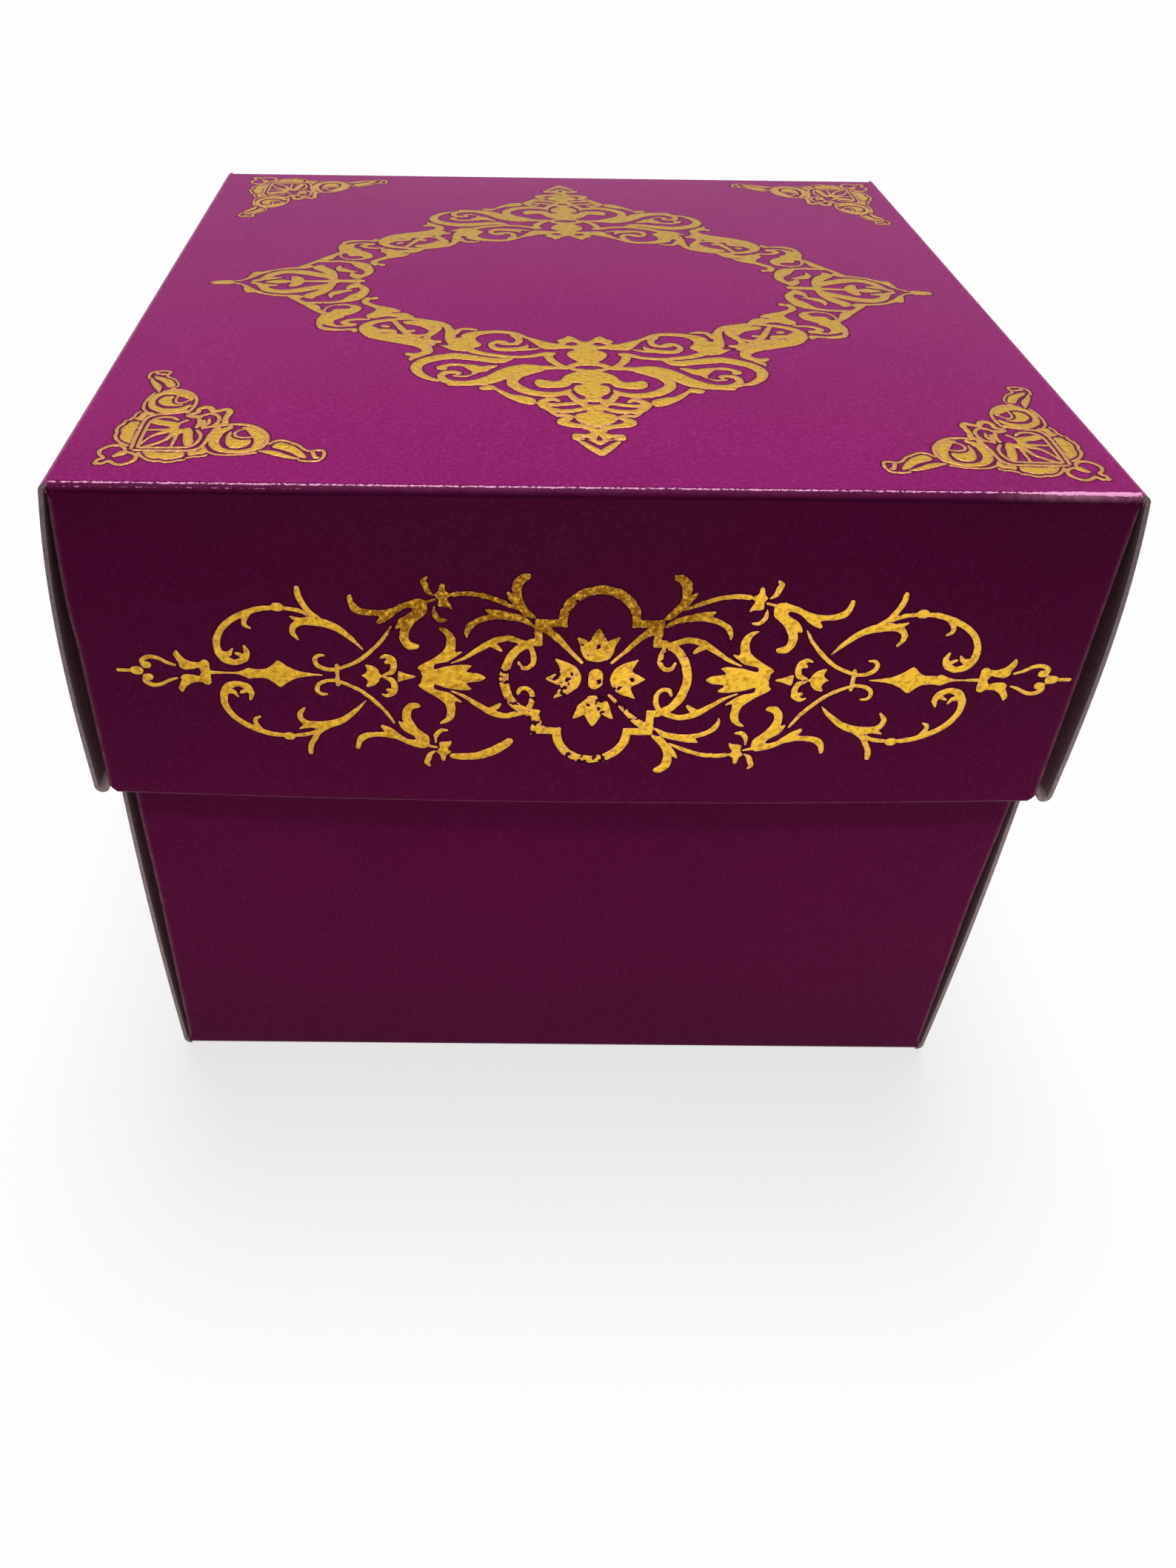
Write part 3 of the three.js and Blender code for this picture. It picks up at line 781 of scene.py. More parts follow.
medallion = {
    "strokes": [
        [(0, 43.6, .45), (.9, 42.5, .4), (1.6, 41.6, .3), (1.9, 41.3, .2)],  # tip vee
        # stem arc
        [(.1, 39.5, .5), (.8, 38.6, .45), (1.7, 38.2, .4), (2.6, 38, .5), (3.3, 37.5, .65), (3.2, 37, .5),
         (2.6, 36.6, .3)],
        [(2.4, 36.3, .25), (2.9, 36, .3), (3.6, 36, .3)],  # stem ear
        # lower scroll
        [(1, 34.5, .35), (2.2, 35, .4), (3.5, 35.1, .4), (4.5, 34.8, .45), (5.1, 34.1, .5), (5.3, 33.4, .5),
         (4.8, 32.7, .4), (4.1, 32.5, .35), (3.6, 32.9, .25)],
        [(.9, 33.2, .3), (2.1, 33.4, .35), (3.3, 33.7, .35), (4.3, 33.8, .35), (5, 33.6, .3)],  # scroll inner
        [(4.5, 35, .35), (4.2, 35.6, .3), (3.8, 36.2, .15)],  # scroll drip
        [(0, 32.6, .45), (.9, 32.7, .35), (1.3, 33.2, .35), (.9, 33.9, .4), (0, 34.1, .4)],  # oval ring
        [(1, 32.8, .3), (1.8, 32.6, .4), (2.2, 31.8, .4), (2.5, 31.1, .35), (2.3, 30.4, .2)],  # side neck
        # big C
        [(2.3, 30.4, .2), (3.1, 31.2, .45), (4.4, 31.5, .55), (5.8, 31.3, .6), (7.1, 30.6, .65),
         (8.1, 29.4, .65), (8.2, 28.3, .6), (7.6, 27.2, .6), (6.8, 26.4, .65), (5.8, 25.7, .75),
         (4.8, 25.2, .55), (3.6, 25.1, .4), (2.5, 25.1, .4), (1.7, 24.6, .35)],
        [(0, 23.9, .5), (1, 24.1, .45), (1.9, 24.6, .4), (2, 25.1, .3)],  # collar upper
        [(2, 25.1, .3), (1.5, 25.5, .3), (.7, 25.6, .3)],  # collar lower
        # arch
        [(6.7, 17.1, .3), (7.9, 16.2, .4), (9.3, 15.8, .4), (10.7, 15.9, .45), (12, 16.3, .6),
         (12.9, 17.1, .9)],
        [(12.1, 15.3, .2), (12.8, 15.1, .3), (13.7, 15.1, .3), (14.2, 15.7, .35),
         (14.4, 16.4, .3)],  # trunk ear
        # under band
        [(12.5, 21.1, .5), (11.3, 21.8, .45), (9.9, 22.2, .4), (8.6, 22.5, .35), (7.3, 22.5, .35),
         (6, 22.3, .35), (5, 21.8, .4), (4.2, 21.6, .5), (3.6, 21.5, .3)],
        [(4.3, 21.9, .5), (4.1, 22.9, .5), (3.7, 23.7, .45), (3, 24.6, .4), (2.5, 25, .35)],  # under drop
        # S band
        [(8.3, 22.9, .3), (9.2, 23.5, .6), (10.3, 23.5, .65), (11.7, 23.1, .65), (13.2, 22.7, .75),
         (14.7, 22.5, .75), (16.2, 23, .7), (17.5, 23.7, .7), (18.3, 24.8, .65), (18.4, 25.9, .6),
         (17.9, 27.1, .5), (17, 28.1, .4), (15.9, 28.6, .25)],
        # vine ring
        [(8, 16.8, .35), (7.5, 17.4, .4), (7.3, 18.2, .4), (7.7, 19, .4), (8.5, 19.1, .3), (9, 18.7, .4),
         (9.8, 18.6, .4), (10.4, 19.2, .35), (10.3, 20, .4), (9.6, 20.6, .45), (8.3, 20.6, .5),
         (7.1, 20.3, .45), (6.6, 19.8, .3), (6.4, 19.3, .12)],
        [(7.6, 19.1, .2), (8.4, 19.3, .25), (9.4, 19.2, .15)],  # vine lip
        [(5.1, 20.2, .12), (6.1, 20.5, .28), (7.2, 20.6, .35)],  # vine leaf
        # S leaf
        [(5.2, 25.1, .45), (6.6, 25.1, .75), (8.1, 25.8, .9), (9.2, 26.9, 1), (10.2, 28, .95),
         (11.5, 28.8, .8),
         (13, 29.2, .6), (14.4, 29.1, .55), (15.4, 28.4, .5), (15.7, 27.4, .4), (15.3, 26.7, .4),
         (14.5, 26.5, .35), (13.8, 26.7, .3), (14, 27.2, .15)],
        [(13.7, 29.5, .35), (14.7, 29.5, .35)],  # S bump
        [(12.5, 27.2, .15), (13.3, 27.6, .22), (14.4, 27.4, .18)],  # flower thread
        [(24.2, 5.8, .4), (24.6, 6, .3)],  # leaf D ball
        # ring band
        [(18.2, 12.6, .3), (19.6, 12.2, .35), (21, 12.3, .35), (22.2, 12.6, .4), (23.4, 13, .45),
         (24.3, 13.7, .55), (24.7, 14.6, .65), (24.5, 15.7, .8), (23.6, 16.9, .9), (22.2, 17.7, .85),
         (20.6, 18.4, .8), (19.2, 19, .75), (18, 19.8, .7), (17.5, 20.6, .65), (17.4, 21.4, .6),
         (18.1, 22.1, .5), (18.9, 22.3, .45), (19.5, 22, .35)],
        [(18.4, 22.6, .4), (19, 23.2, .3), (19.1, 23.7, .12)],  # ring spur
        [(22.3, 16.9, .5), (20.4, 17.2, .5), (18.3, 18.2, .5), (17, 19.4, .45)],  # ring band, inner side
        # left loop
        [(18.4, 12.8, .4), (17.4, 13.4, .55), (16.7, 14.3, .6), (16.6, 15.3, .55), (17.1, 16.3, .5),
         (17.5, 17.2, .4), (17.5, 18.1, .4), (16.9, 18.7, .38), (16.2, 18.7, .35)],
        # inner drop
        [(21.5, 13, .3), (21, 14.1, .35), (20.5, 15.2, .4), (20, 16.2, .4), (19.3, 17, .35), (18.5, 17.1, .3),
         (17.8, 16.8, .25)],
        [(20, 15.8, .35), (19.2, 15.7, .3)],  # inner hook
        [(24, 14.9, .5), (23.3, 15.6, .5), (22.3, 15.7, .5), (21.5, 15.9, .45),
         (21.4, 16.5, .35)],  # ring comma
        [(22.6, 14.4, .38), (22.2, 14.5, .3)],  # ring ball
        [(24.5, 12.4, .25), (25.8, 12.4, .3), (26.8, 12.7, .35), (27.4, 13.3, .35)],  # S hook
        # end ring
        [(27, 1.1, .35), (26.2, 1.9, .45), (25.7, 3, .55), (25.9, 4.2, .7), (26.6, 5.4, .95), (27.2, 6.1, .8),
         (28.1, 6.8, .4), (29.6, 7.2, .3), (30.9, 7.2, .3), (32, 7.2, .3)],
        [(27.9, 3.4, .3), (28.9, 4, .42), (29.6, 4.7, .35), (29.6, 5.5, .15)],  # ring thorn
        [(27.4, 1.3, .3), (27.4, 2.1, .3), (27.8, 2.7, .3)],  # ring tooth
        [(42, 0, .7), (42.8, 0, .68), (43.6, 0, .5)],  # end bead
        # end leaf line
        [(38, 3.75, .25), (36.7, 4.4, .25), (35.2, 4.8, .25), (33.9, 4.9, .35), (33.3, 5.3, .5)],
        # inner arch and its branch
        [(29.9, .7, .4), (30.4, 1.5, .6), (31.3, 2, .68), (32.6, 2.65, .72), (33.8, 3.2, .72),
         (35.2, 3.5, .65),
         (36.5, 3.2, .6), (37.4, 2.45, .58), (37.9, 1.55, .5), (38.4, .75, .38), (39.2, .3, .3)],
        [(29.8, .8, .45), (30.2, 2.2, .65), (30.6, 3.2, .7), (31.3, 4.1, .72), (32.1, 4.9, .72),
         (31.9, 5.4, .5)],
        [(36.2, 1.3, .22), (37, 1.25, .35), (37.6, .9, .3)],  # arch barb
        # bar along the axis
        [(26.3, 0, .42), (27.2, 0, .55), (28.5, 0, .45), (29.6, 0, .6), (30.6, 0, .4), (31.8, 0, .33),
         (33.6, 0, .3)],
        [(27.3, 2, .5), (27.6, 2, .5)],  # loop blob
        [(26.7, 1, .3), (27, 1.9, .45)],
        [(27.3, 3.3, .2), (28.3, 3.5, .35), (29.3, 3.9, .45), (29.7, 4.8, .3),
         (29.5, 5.5, .15)],  # loop thorn
    ],
    "leaves": [
        # end leaf
        [(38, 3.9), (38.7, 3.6), (39.5, 3.6), (39.9, 2.5), (40.1, 1.5), (40.5, .9), (41.2, .6), (41.4, .2),
         (40.7, .3), (40.1, .8), (39.4, 1.5), (38.9, 2.2), (38.3, 2.9), (37.6, 3.5)],
        [(33.2, 0), (33.3, .7), (33.7, 1.4), (34.3, 1.85), (34.9, 1.7), (34.9, 1), (34.7, 0)],  # spindle
        [(34.4, .1), (35.3, .5), (36.1, .68), (36.9, .5), (37.9, .1)],  # diamond
        # tip heart
        [(.1, 42), (.9, 41.2), (1.6, 41), (2.5, 41), (2.6, 40.3), (2.4, 39.8), (1.8, 39.8), (1.2, 39.8),
         (.6, 39.5), (.1, 39.4)],
        # bulb
        [(.1, 38.5), (.8, 38), (1.7, 37.4), (2.1, 36.7), (2, 35.9), (1.5, 35.5), (.9, 35.3), (.8, 34.8),
         (1, 34.4), (1, 33.9), (0, 33.6)],
        # big body
        [(0, 25.4), (.9, 25.7), (1.9, 26.3), (2.7, 27.1), (3.2, 28.1), (3.8, 28.4), (4.7, 28.2), (5.2, 28),
         (5.7, 28.1), (5.9, 28.7), (5.8, 29.4), (5.3, 29.9), (4.3, 30), (3.3, 29.9), (2.5, 29.6), (2, 28.9),
         (1.7, 28.7), (1, 28.8), (1, 29.1), (1.7, 29.4), (1.9, 30.1), (1.7, 30.9), (1.2, 31.5), (.8, 31.9),
         (.8, 32.4), (0, 32.6)],
        # vase
        [(0, 18.3), (.6, 17.9), (1.2, 17.1), (1.8, 16.6), (2.3, 17.3), (3, 17.8), (3.1, 18.2), (2.8, 18.7),
         (3.4, 18.8), (4.3, 18.4), (5.6, 17.6), (6.7, 16.9), (7, 17.2), (6.3, 17.9), (5.7, 18.9), (5.1, 19.9),
         (4.6, 20.4), (3.6, 20.4), (2.3, 20.2), (1.5, 20.2), (1.2, 20.4), (2, 21), (2.2, 21.8), (1.8, 22.7),
         (1.2, 23.4), (1, 24.1), (0, 24.2)],
        # trunk
        [(12.1, 16.5), (13, 16.7), (13.8, 17.4), (14.4, 17.6), (14.4, 16.6), (14.6, 15.4), (15.1, 14.1),
         (16, 13.1), (17.4, 12.5), (18.8, 12.1), (18.8, 12.8), (17.5, 13.2), (16.5, 13.8), (15.8, 14.7),
         (15.6, 15.9), (15.6, 17.4), (15.4, 18.7), (15.1, 19.6), (16.4, 19.6), (15.7, 20), (14.9, 20.8),
         (14.3, 21.1), (13, 21.3), (12, 21.8), (11.5, 21.6), (12.2, 20.9), (12.3, 20.4), (11.6, 19.8),
         (11.5, 19.2), (11.9, 18.6), (12.2, 17.6)],
        # inner flower
        [(9.6, 24.8), (10.4, 24.7), (11.4, 25), (12.1, 24.7), (13.2, 24.5), (14.5, 24.3), (15.3, 24.6),
         (16.1, 25.1), (16.3, 25.7), (15.7, 26.1), (15.1, 25.9), (15.2, 25.3), (14.3, 25), (13.4, 25.1),
         (13, 25.7), (12.5, 26.3), (12.5, 26.9), (12.2, 27.2), (11.7, 26.5), (10.9, 26.3), (10.6, 25.8)],
        # outer leaf
        [(6.1, 33.8), (5.9, 32.8), (6.3, 32.3), (7.4, 31.8), (8.3, 31.6), (9.1, 30.9), (9.8, 30.2),
         (10.2, 29.6), (10.9, 29.7), (11.5, 29.9), (11.7, 30.2), (11.4, 30.7), (10.8, 30.7), (10.1, 30.6),
         (9.7, 31.2), (8.9, 32.2), (8, 33.1), (7.1, 33.7)],
        # leaf D
        [(20.9, 10.1), (21.4, 9.3), (22.4, 8.7), (23.4, 8.3), (24.1, 7.8), (24.8, 7.2), (24.9, 6.6),
         (24.6, 6.1), (25.1, 5.5), (25.7, 6.2), (25.8, 7.1), (25.4, 7.8), (24.6, 8.5), (24.1, 9), (23.9, 9.5),
         (24.2, 10.3), (24.8, 11), (24.8, 11.9), (23.8, 12.1), (22.8, 11.6), (21.8, 11.6), (19.9, 12.2),
         (19.2, 11.8),
         (20, 10.7), (20.8, 10.4), (21.8, 10.5), (22.1, 10.3)],
        # S body
        [(25.6, 9), (26.1, 8.2), (27.1, 7.8), (28.1, 7.6), (29.2, 8), (29.9, 8.8), (30.1, 9.8), (30.1, 10.5),
         (30.2, 11.3), (30.5, 12.4), (30.4, 13.8), (30, 15), (29.2, 15.6), (28, 15.8), (26.7, 15.6),
         (26.2, 15.8), (25.9, 16.2), (25.5, 15.9), (25.6, 15.2), (26, 15), (27.2, 15.2), (28.5, 15),
         (29.5, 14.5), (29.7, 13.8), (29.1, 14.2), (27.9, 14.6), (26.7, 14.5), (25.8, 14.3), (25.8, 13.7),
         (26.5, 13.5), (26.9, 13.2), (27.5, 13), (27.7, 13.6), (27.2, 14), (27.9, 14.2), (28.4, 13.6),
         (28.4, 12.8), (28, 12.2), (27.4, 11.9), (27.4, 11.4), (26.7, 10.9), (25.9, 10.1)],
        # loop leaf
        [(18.3, 12.8), (20.4, 12.9), (20.3, 13.7), (19.2, 14.1), (18.2, 14.7), (17.5, 15.6), (17.2, 15),
         (17.3, 14)],
        # end leaf
        [(31.9, 7.3), (32.8, 6.4), (33.5, 5.4), (34, 4.9), (34.5, 5.2), (34, 6), (33.1, 7.1), (32.4, 8),
         (31.8, 8.9), (30.9, 10), (30.2, 10.7), (30, 10.3), (30.4, 9.2), (30.7, 8.2), (31.2, 7.7)],
    ],
    "cuts": [
        [(.8, 40.8), (1.3, 40.8), (1.8, 40.3), (1.4, 40.5)],  # tip curl
        [(0, 40), (.3, 41), (0, 41.1)],  # tip slit
        [(.8, 18.9), (1.4, 18.4), (1.9, 18.6), (2.3, 19.1), (1.5, 19.3)],  # vase hole
        # S body eye
        [(26.9, 8.5), (27.8, 8.1), (28.9, 8.2), (29.6, 9), (29.7, 10.1), (29.2, 10.3), (28.9, 9.5),
         (28.5, 9.2),
         (27.8, 9.2), (27.1, 9.1)],
    ],
}


bracket = {
    "strokes": [
        # knob line
        [(.5, .7, .2), (1.2, .6, .2), (1.7, 1.1, .2), (2.3, .6, .2), (3, .4, .2), (3.7, .8, .22),
         (4.1, 1.5, .22), (4, 2.2, .2), (3.5, 2.7, .2), (2.8, 2.9, .2)],
        [(2.5, 2.8, .3), (2.2, 2.4, .25), (1.9, 2.1, .15)],  # knob tongue
        # cushion line
        [(4.1, 2.8, .17), (4.5, 2.1, .17), (5.1, 1.5, .17), (5.8, 1.15, .17), (6.4, 1.15, .17), (7, .95, .17),
         (7.6, 1.05, .17), (8.1, 1.35, .17), (8.7, 1.4, .15)],
        [(8.8, 1.75, .14), (9.4, 2.05, .16), (10.1, 2.1, .16), (10.6, 2.4, .14)],  # block line
        # outer line of the shield
        [(3.5, 3.3, .18), (5.3, 3.22, .2), (7, 3.22, .2), (8.6, 3.25, .18), (9.5, 3.6, .2), (9.9, 4.4, .2),
         (10.05, 5.5, .2), (10.2, 6.5, .22), (10.5, 7.4, .3), (10.7, 7.9, .28)],
        # inner line of the shield
        [(3.85, 3.85, .18), (5, 3.82, .18), (6.4, 3.82, .18), (7.7, 3.85, .18), (8.6, 4, .18),
         (9.1, 4.6, .18),
         (9.35, 5.6, .18), (9.25, 6.5, .18), (8.8, 7.3, .2)],
        # ribs of the shell and their foot
        [(6.6, 6.7, .3), (6.1, 5.4, .22), (5.3, 4.6, .2), (4.4, 4, .18)],
        [(6.9, 7, .28), (6.95, 5.5, .18), (6.9, 4, .15)],
        [(6.8, 6.9, .45), (7.1, 7.2, .5)],
        # eye line
        [(10.2, 8.1, .2), (11.2, 8.5, .22), (12.6, 8.65, .22), (13.8, 8.4, .22), (14.8, 7.7, .22),
         (15.5, 6.8, .2), (15.85, 5.8, .2), (15.85, 4.8, .2), (15.4, 3.8, .2)],
        # eye band
        [(11.9, 8, .3), (11.1, 7.1, .45), (10.8, 5.8, .5), (10.9, 4.5, .5), (11.6, 3.5, .42),
         (12.6, 3.1, .35),
         (13.8, 3.1, .35), (14.8, 3.6, .4), (15.1, 4.7, .45), (15, 5.9, .55), (14.5, 6.9, .6),
         (13.8, 7.7, .4),
         (13.2, 7.9, .2)],
        # eye curl
        [(13.4, 7.7, .15), (12.8, 7.3, .16), (12.5, 6.7, .16), (12.8, 6.1, .16), (13.5, 5.9, .16),
         (14.2, 6, .15)],
        # line over the eye
        [(9.8, 4.3, .12), (10.4, 3.2, .14), (11.2, 2.6, .15), (12.3, 2.4, .15), (13.8, 2.5, .15),
         (15.1, 2.9, .15)],
        # leaf line
        [(16.2, 4.6, .13), (16.5, 5.1, .16), (17.1, 5.4, .16), (17.8, 5.2, .16), (18.4, 4.8, .16),
         (18.9, 4.5, .16), (19.3, 4, .16), (19.7, 3.5, .16), (20.2, 3.3, .16), (20.8, 3.45, .17),
         (21.4, 3.4, .17), (21.6, 2.8, .17), (21.5, 2, .17), (21.1, 1.45, .17), (20.2, 1.35, .17),
         (19.4, 1.5, .15)],
        [(20.5, 3, .22), (20.8, 2.1, .22), (21.1, 2.1, .15)],  # leaf end
        [(7.2, 10.5, .2), (7.9, 10.4, .22), (8.6, 10.3, .22)],  # crown foot
    ],
    "leaves": [
        # cushion
        [(4.5, 2.95), (6.3, 2.85), (8.3, 2.9), (8.5, 2.5), (8.4, 1.95), (8, 1.8), (7.5, 1.5), (6.9, 1.4),
         (6.3, 1.6), (5.7, 1.6), (5.1, 1.95), (4.7, 2.5)],
        [(8.7, 3), (9.6, 3.2), (10.2, 3.9), (10.5, 3.2), (10.3, 2.6), (9.6, 2.5), (9, 2.2),
         (8.8, 2.5)],  # block
        # wedge
        [(7.2, 7.5), (7.9, 7.9), (8.4, 7.1), (8.6, 5.9), (8.85, 4.9), (8.5, 4.05), (8.1, 4.3), (7.8, 5.2),
         (7.6, 6.3), (7.4, 6.9)],
        # eye bowl
        [(12, 7.1), (11.8, 5.9), (12, 4.6), (12.6, 3.8), (13.3, 3.7), (14, 4.1), (14.3, 4.8), (14.2, 5.5),
         (13.4, 5.4), (12.6, 5.7), (12.2, 6.3), (12.2, 7)],
        # leaf upper
        [(16.5, 4), (16.7, 4.7), (17.3, 4.95), (17.8, 4.7), (18.3, 4.4), (18.7, 4.1), (19.1, 3.6),
         (19.5, 3.1),
         (19.9, 2.4), (20, 1.9), (19.2, 2.2), (18.5, 2.9), (17.5, 3.5)],
        # leaf lower
        [(15.2, 3.3), (16.3, 3.4), (17.3, 3.1), (18.2, 2.5), (19.3, 1.9), (19.4, 1.7), (18.4, 1.8),
         (17.3, 2.2),
         (16.2, 2.7)],
    ],
    "crown": {
        "strokes": [
            [(10.5, 8.2, .25), (11.2, 8.9, .32), (11.1, 9.7, .3), (11.15, 10.5, .32), (11.3, 11.3, .35),
             (10.9, 11.9, .32), (10.2, 11.6, .3), (9.6, 11.5, .32), (9.2, 12.2, .35), (8.6, 12.4, .32),
             (8.1, 11.9, .28), (8.1, 11.2, .26), (7.4, 10.8, .2)],
            [(9.5, 7.9, .18), (10.2, 8.4, .2), (10.5, 9.3, .2), (10.4, 10.2, .2), (9.9, 10.8, .2),
             (9.3, 10.9, .2),
             (8.7, 10.5, .2), (8, 10.1, .18), (7.2, 10.4, .15)],
            [(8.6, 8, .2), (8.7, 8.9, .25), (8.5, 9.8, .2)],
            [(9.2, 8.1, .15), (9.6, 8.9, .18), (9.5, 9.8, .15)],
            [(6.7, 7.6, .25), (6.6, 8.6, .2), (7.4, 9.5, .18)],
        ],
        "leaves": [],
    },
    # runs along the second arm and across it, and what they measure on the first
    "armAlong": ((-1, 4.1, 10.3, 16.5, 21.3, 26), (-1, 4, 9.4, 15.85, 21.75, 26.5)),
    "armAcross": ((-1, 3.9, 4.9, 7.6, 12), (-1, 4, 5.4, 8.75, 13.5)),
    "corners": [
        ("bracketFrontLeft", -46.8, -46.6, 1.0),
        ("bracketFrontRight", 48.3, -47.4, 0.97),
        ("bracketBackLeft", -46.3, 47.8, 0.97),
        ("bracketBackRight", 48.5, 48.2, 0.97),
    ],
}


# Smooth curve through points by cardinal splines, with a few steps to each piece. A point may hold a width
# too.
def smoothLine(points, closed=False, steps=4):
    points = np.array(points, float)
    before = np.roll(points, 1, 0) if closed else np.concatenate([points[:1], points[:-1]])
    after = np.roll(points, -1, 0) if closed else np.concatenate([points[1:], points[-1:]])
    slope = 0.4 * (after - before)
    count = len(points) if closed else len(points) - 1
    t = (np.arange(steps) / steps)[None, :, None]
    start, end = points[:count, None], np.roll(points, -1, 0)[:count, None]
    leave, arrive = slope[:count, None], np.roll(slope, -1, 0)[:count, None]
    curve = ((2 * t ** 3 - 3 * t ** 2 + 1) * start + (t ** 3 - 2 * t ** 2 + t) * leave
             + (3 * t ** 2 - 2 * t ** 3) * end + (t ** 3 - t ** 2) * arrive).reshape(-1, points.shape[1])
    return curve if closed else np.concatenate([curve, points[-1:]])


# Distance from each place to each straight piece of a line, and how far along the piece its foot is
def distanceTo(place, line):
    start, run = line[:-1, :2], np.diff(line[:, :2], axis=0)
    reach = place[:, None] - start
    t = np.clip((reach * run).sum(-1) / np.maximum((run ** 2).sum(-1), 1e-12), 0, 1)
    return np.hypot(*np.moveaxis(reach - t[..., None] * run, -1, 0)), t


# Distance outside a stroke, below 0 within it: the nearest piece, less the half width there
def strokeDistance(place, line):
    distance, t = distanceTo(place, line)
    halfWidth = line[:-1, 2] + t * np.diff(line[:, 2])
    return (distance - halfWidth).min(1)


# Distance outside a closed outline, below 0 within it: inside is where a ray crosses an odd number of sides
def leafDistance(place, outline):
    line = np.concatenate([outline, outline[:1]])
    distance = distanceTo(place, line)[0].min(1)
    (u, v), (nextU, nextV) = line[:-1].T, line[1:].T
    spans = (v > place[:, 1:]) != (nextV > place[:, 1:])
    rise = np.where(nextV == v, 1, nextV - v)
    crossings = spans & (place[:, :1] < (nextU - u) * (place[:, 1:] - v) / rise + u)
    return np.where(crossings.sum(1) % 2, -distance, distance)


# An outline that starts and ends on an axis is half of a leaf: its mirror image completes it
def wholeLeaf(points):
    points = np.array(points, float)
    for axis in (0, 1):
        if max(abs(points[0, axis]), abs(points[-1, axis])) < 0.15:
            points[[0, -1], axis] = 0
            flip = np.where(np.arange(2) == axis, -1, 1)
            points = np.concatenate([points, points[-2:0:-1] * flip])
    return points


# Least distance to any stroke or leaf at each place, worked out only near it, with the cuts taken out
def ornamentField(u, v, table, far=3.0):
    place = np.stack([u.ravel(), v.ravel()], -1)

    def nearest(field, shapes, measure):
        for shape in shapes:
            margin = 0.6 + (shape[:, 2].max() if shape.shape[1] > 2 else 0)
            low, high = shape[:, :2].min(0) - margin, shape[:, :2].max(0) + margin
            window = np.flatnonzero(((place >= low) & (place <= high)).all(1))
            field[window] = np.minimum(field[window], measure(place[window], shape))
        return field

    field = np.full(len(place), far)
    nearest(field, [smoothLine(line) for line in table["strokes"]], strokeDistance)
    nearest(field, [smoothLine(wholeLeaf(leaf), True) for leaf in table["leaves"]], leafDistance)
    nearest(field, [np.array(plate, float) for plate in table.get("plates", [])], leafDistance)
    cuts = [smoothLine(wholeLeaf(cut), True) for cut in table.get("cuts", [])]
    field = np.maximum(field, -nearest(np.full(len(place), far), cuts, leafDistance))
    return field.reshape(u.shape)


# Smooth noise from 0 to 1: random values on a lattice of the given size, blended by smooth steps
def smoothNoise(u, v, size, seed):
    values = np.random.default_rng(seed).random((256, 256))
    column, row = u / size + 100, v / size + 100
    i, j = np.floor(column).astype(int), np.floor(row).astype(int)
    s, t = column - i, row - j
    s, t = s * s * (3 - 2 * s), t * t * (3 - 2 * t)
    i, j = i % 255, j % 255
    near = values[i, j] * (1 - s) + values[i + 1, j] * s
    return near * (1 - t) + (values[i, j + 1] * (1 - s) + values[i + 1, j + 1] * s) * t


# How each kind is stamped: how far its grid reaches from the middle and its cells, the width of the pressed
# line round the foil, darkened with painted shade, and that of the paler rim on it, a painted highlight,
# and how ragged its outline is
stamping = {
    "band": {"reach": (48.3, 12.9), "cell": 0.13, "edge": 0.18, "rim": 0.06, "ragged": 0.05, "seed": 11},
    "medallion": {"reach": (45.4, 44.6), "cell": 0.19, "edge": 0.26, "rim": 0.28, "ragged": 0.05, "seed": 21},
    "bracket": {"reach": (23.4, 23.4), "cell": 0.12, "edge": 0.26, "rim": 0.24, "ragged": 0.03, "seed": 31},
}


# Ragged outline of stamped foil: coarse and fine noise added to the distances
def ragged(field, u, v, kind, more=0):
    seed = stamping[kind]["seed"]
    coarse, fine = smoothNoise(u, v, 1.1, seed), smoothNoise(u, v, 0.42, seed + 1)
    return field + (stamping[kind]["ragged"] + more) * (0.8 * coarse + 1.2 * fine - 1)


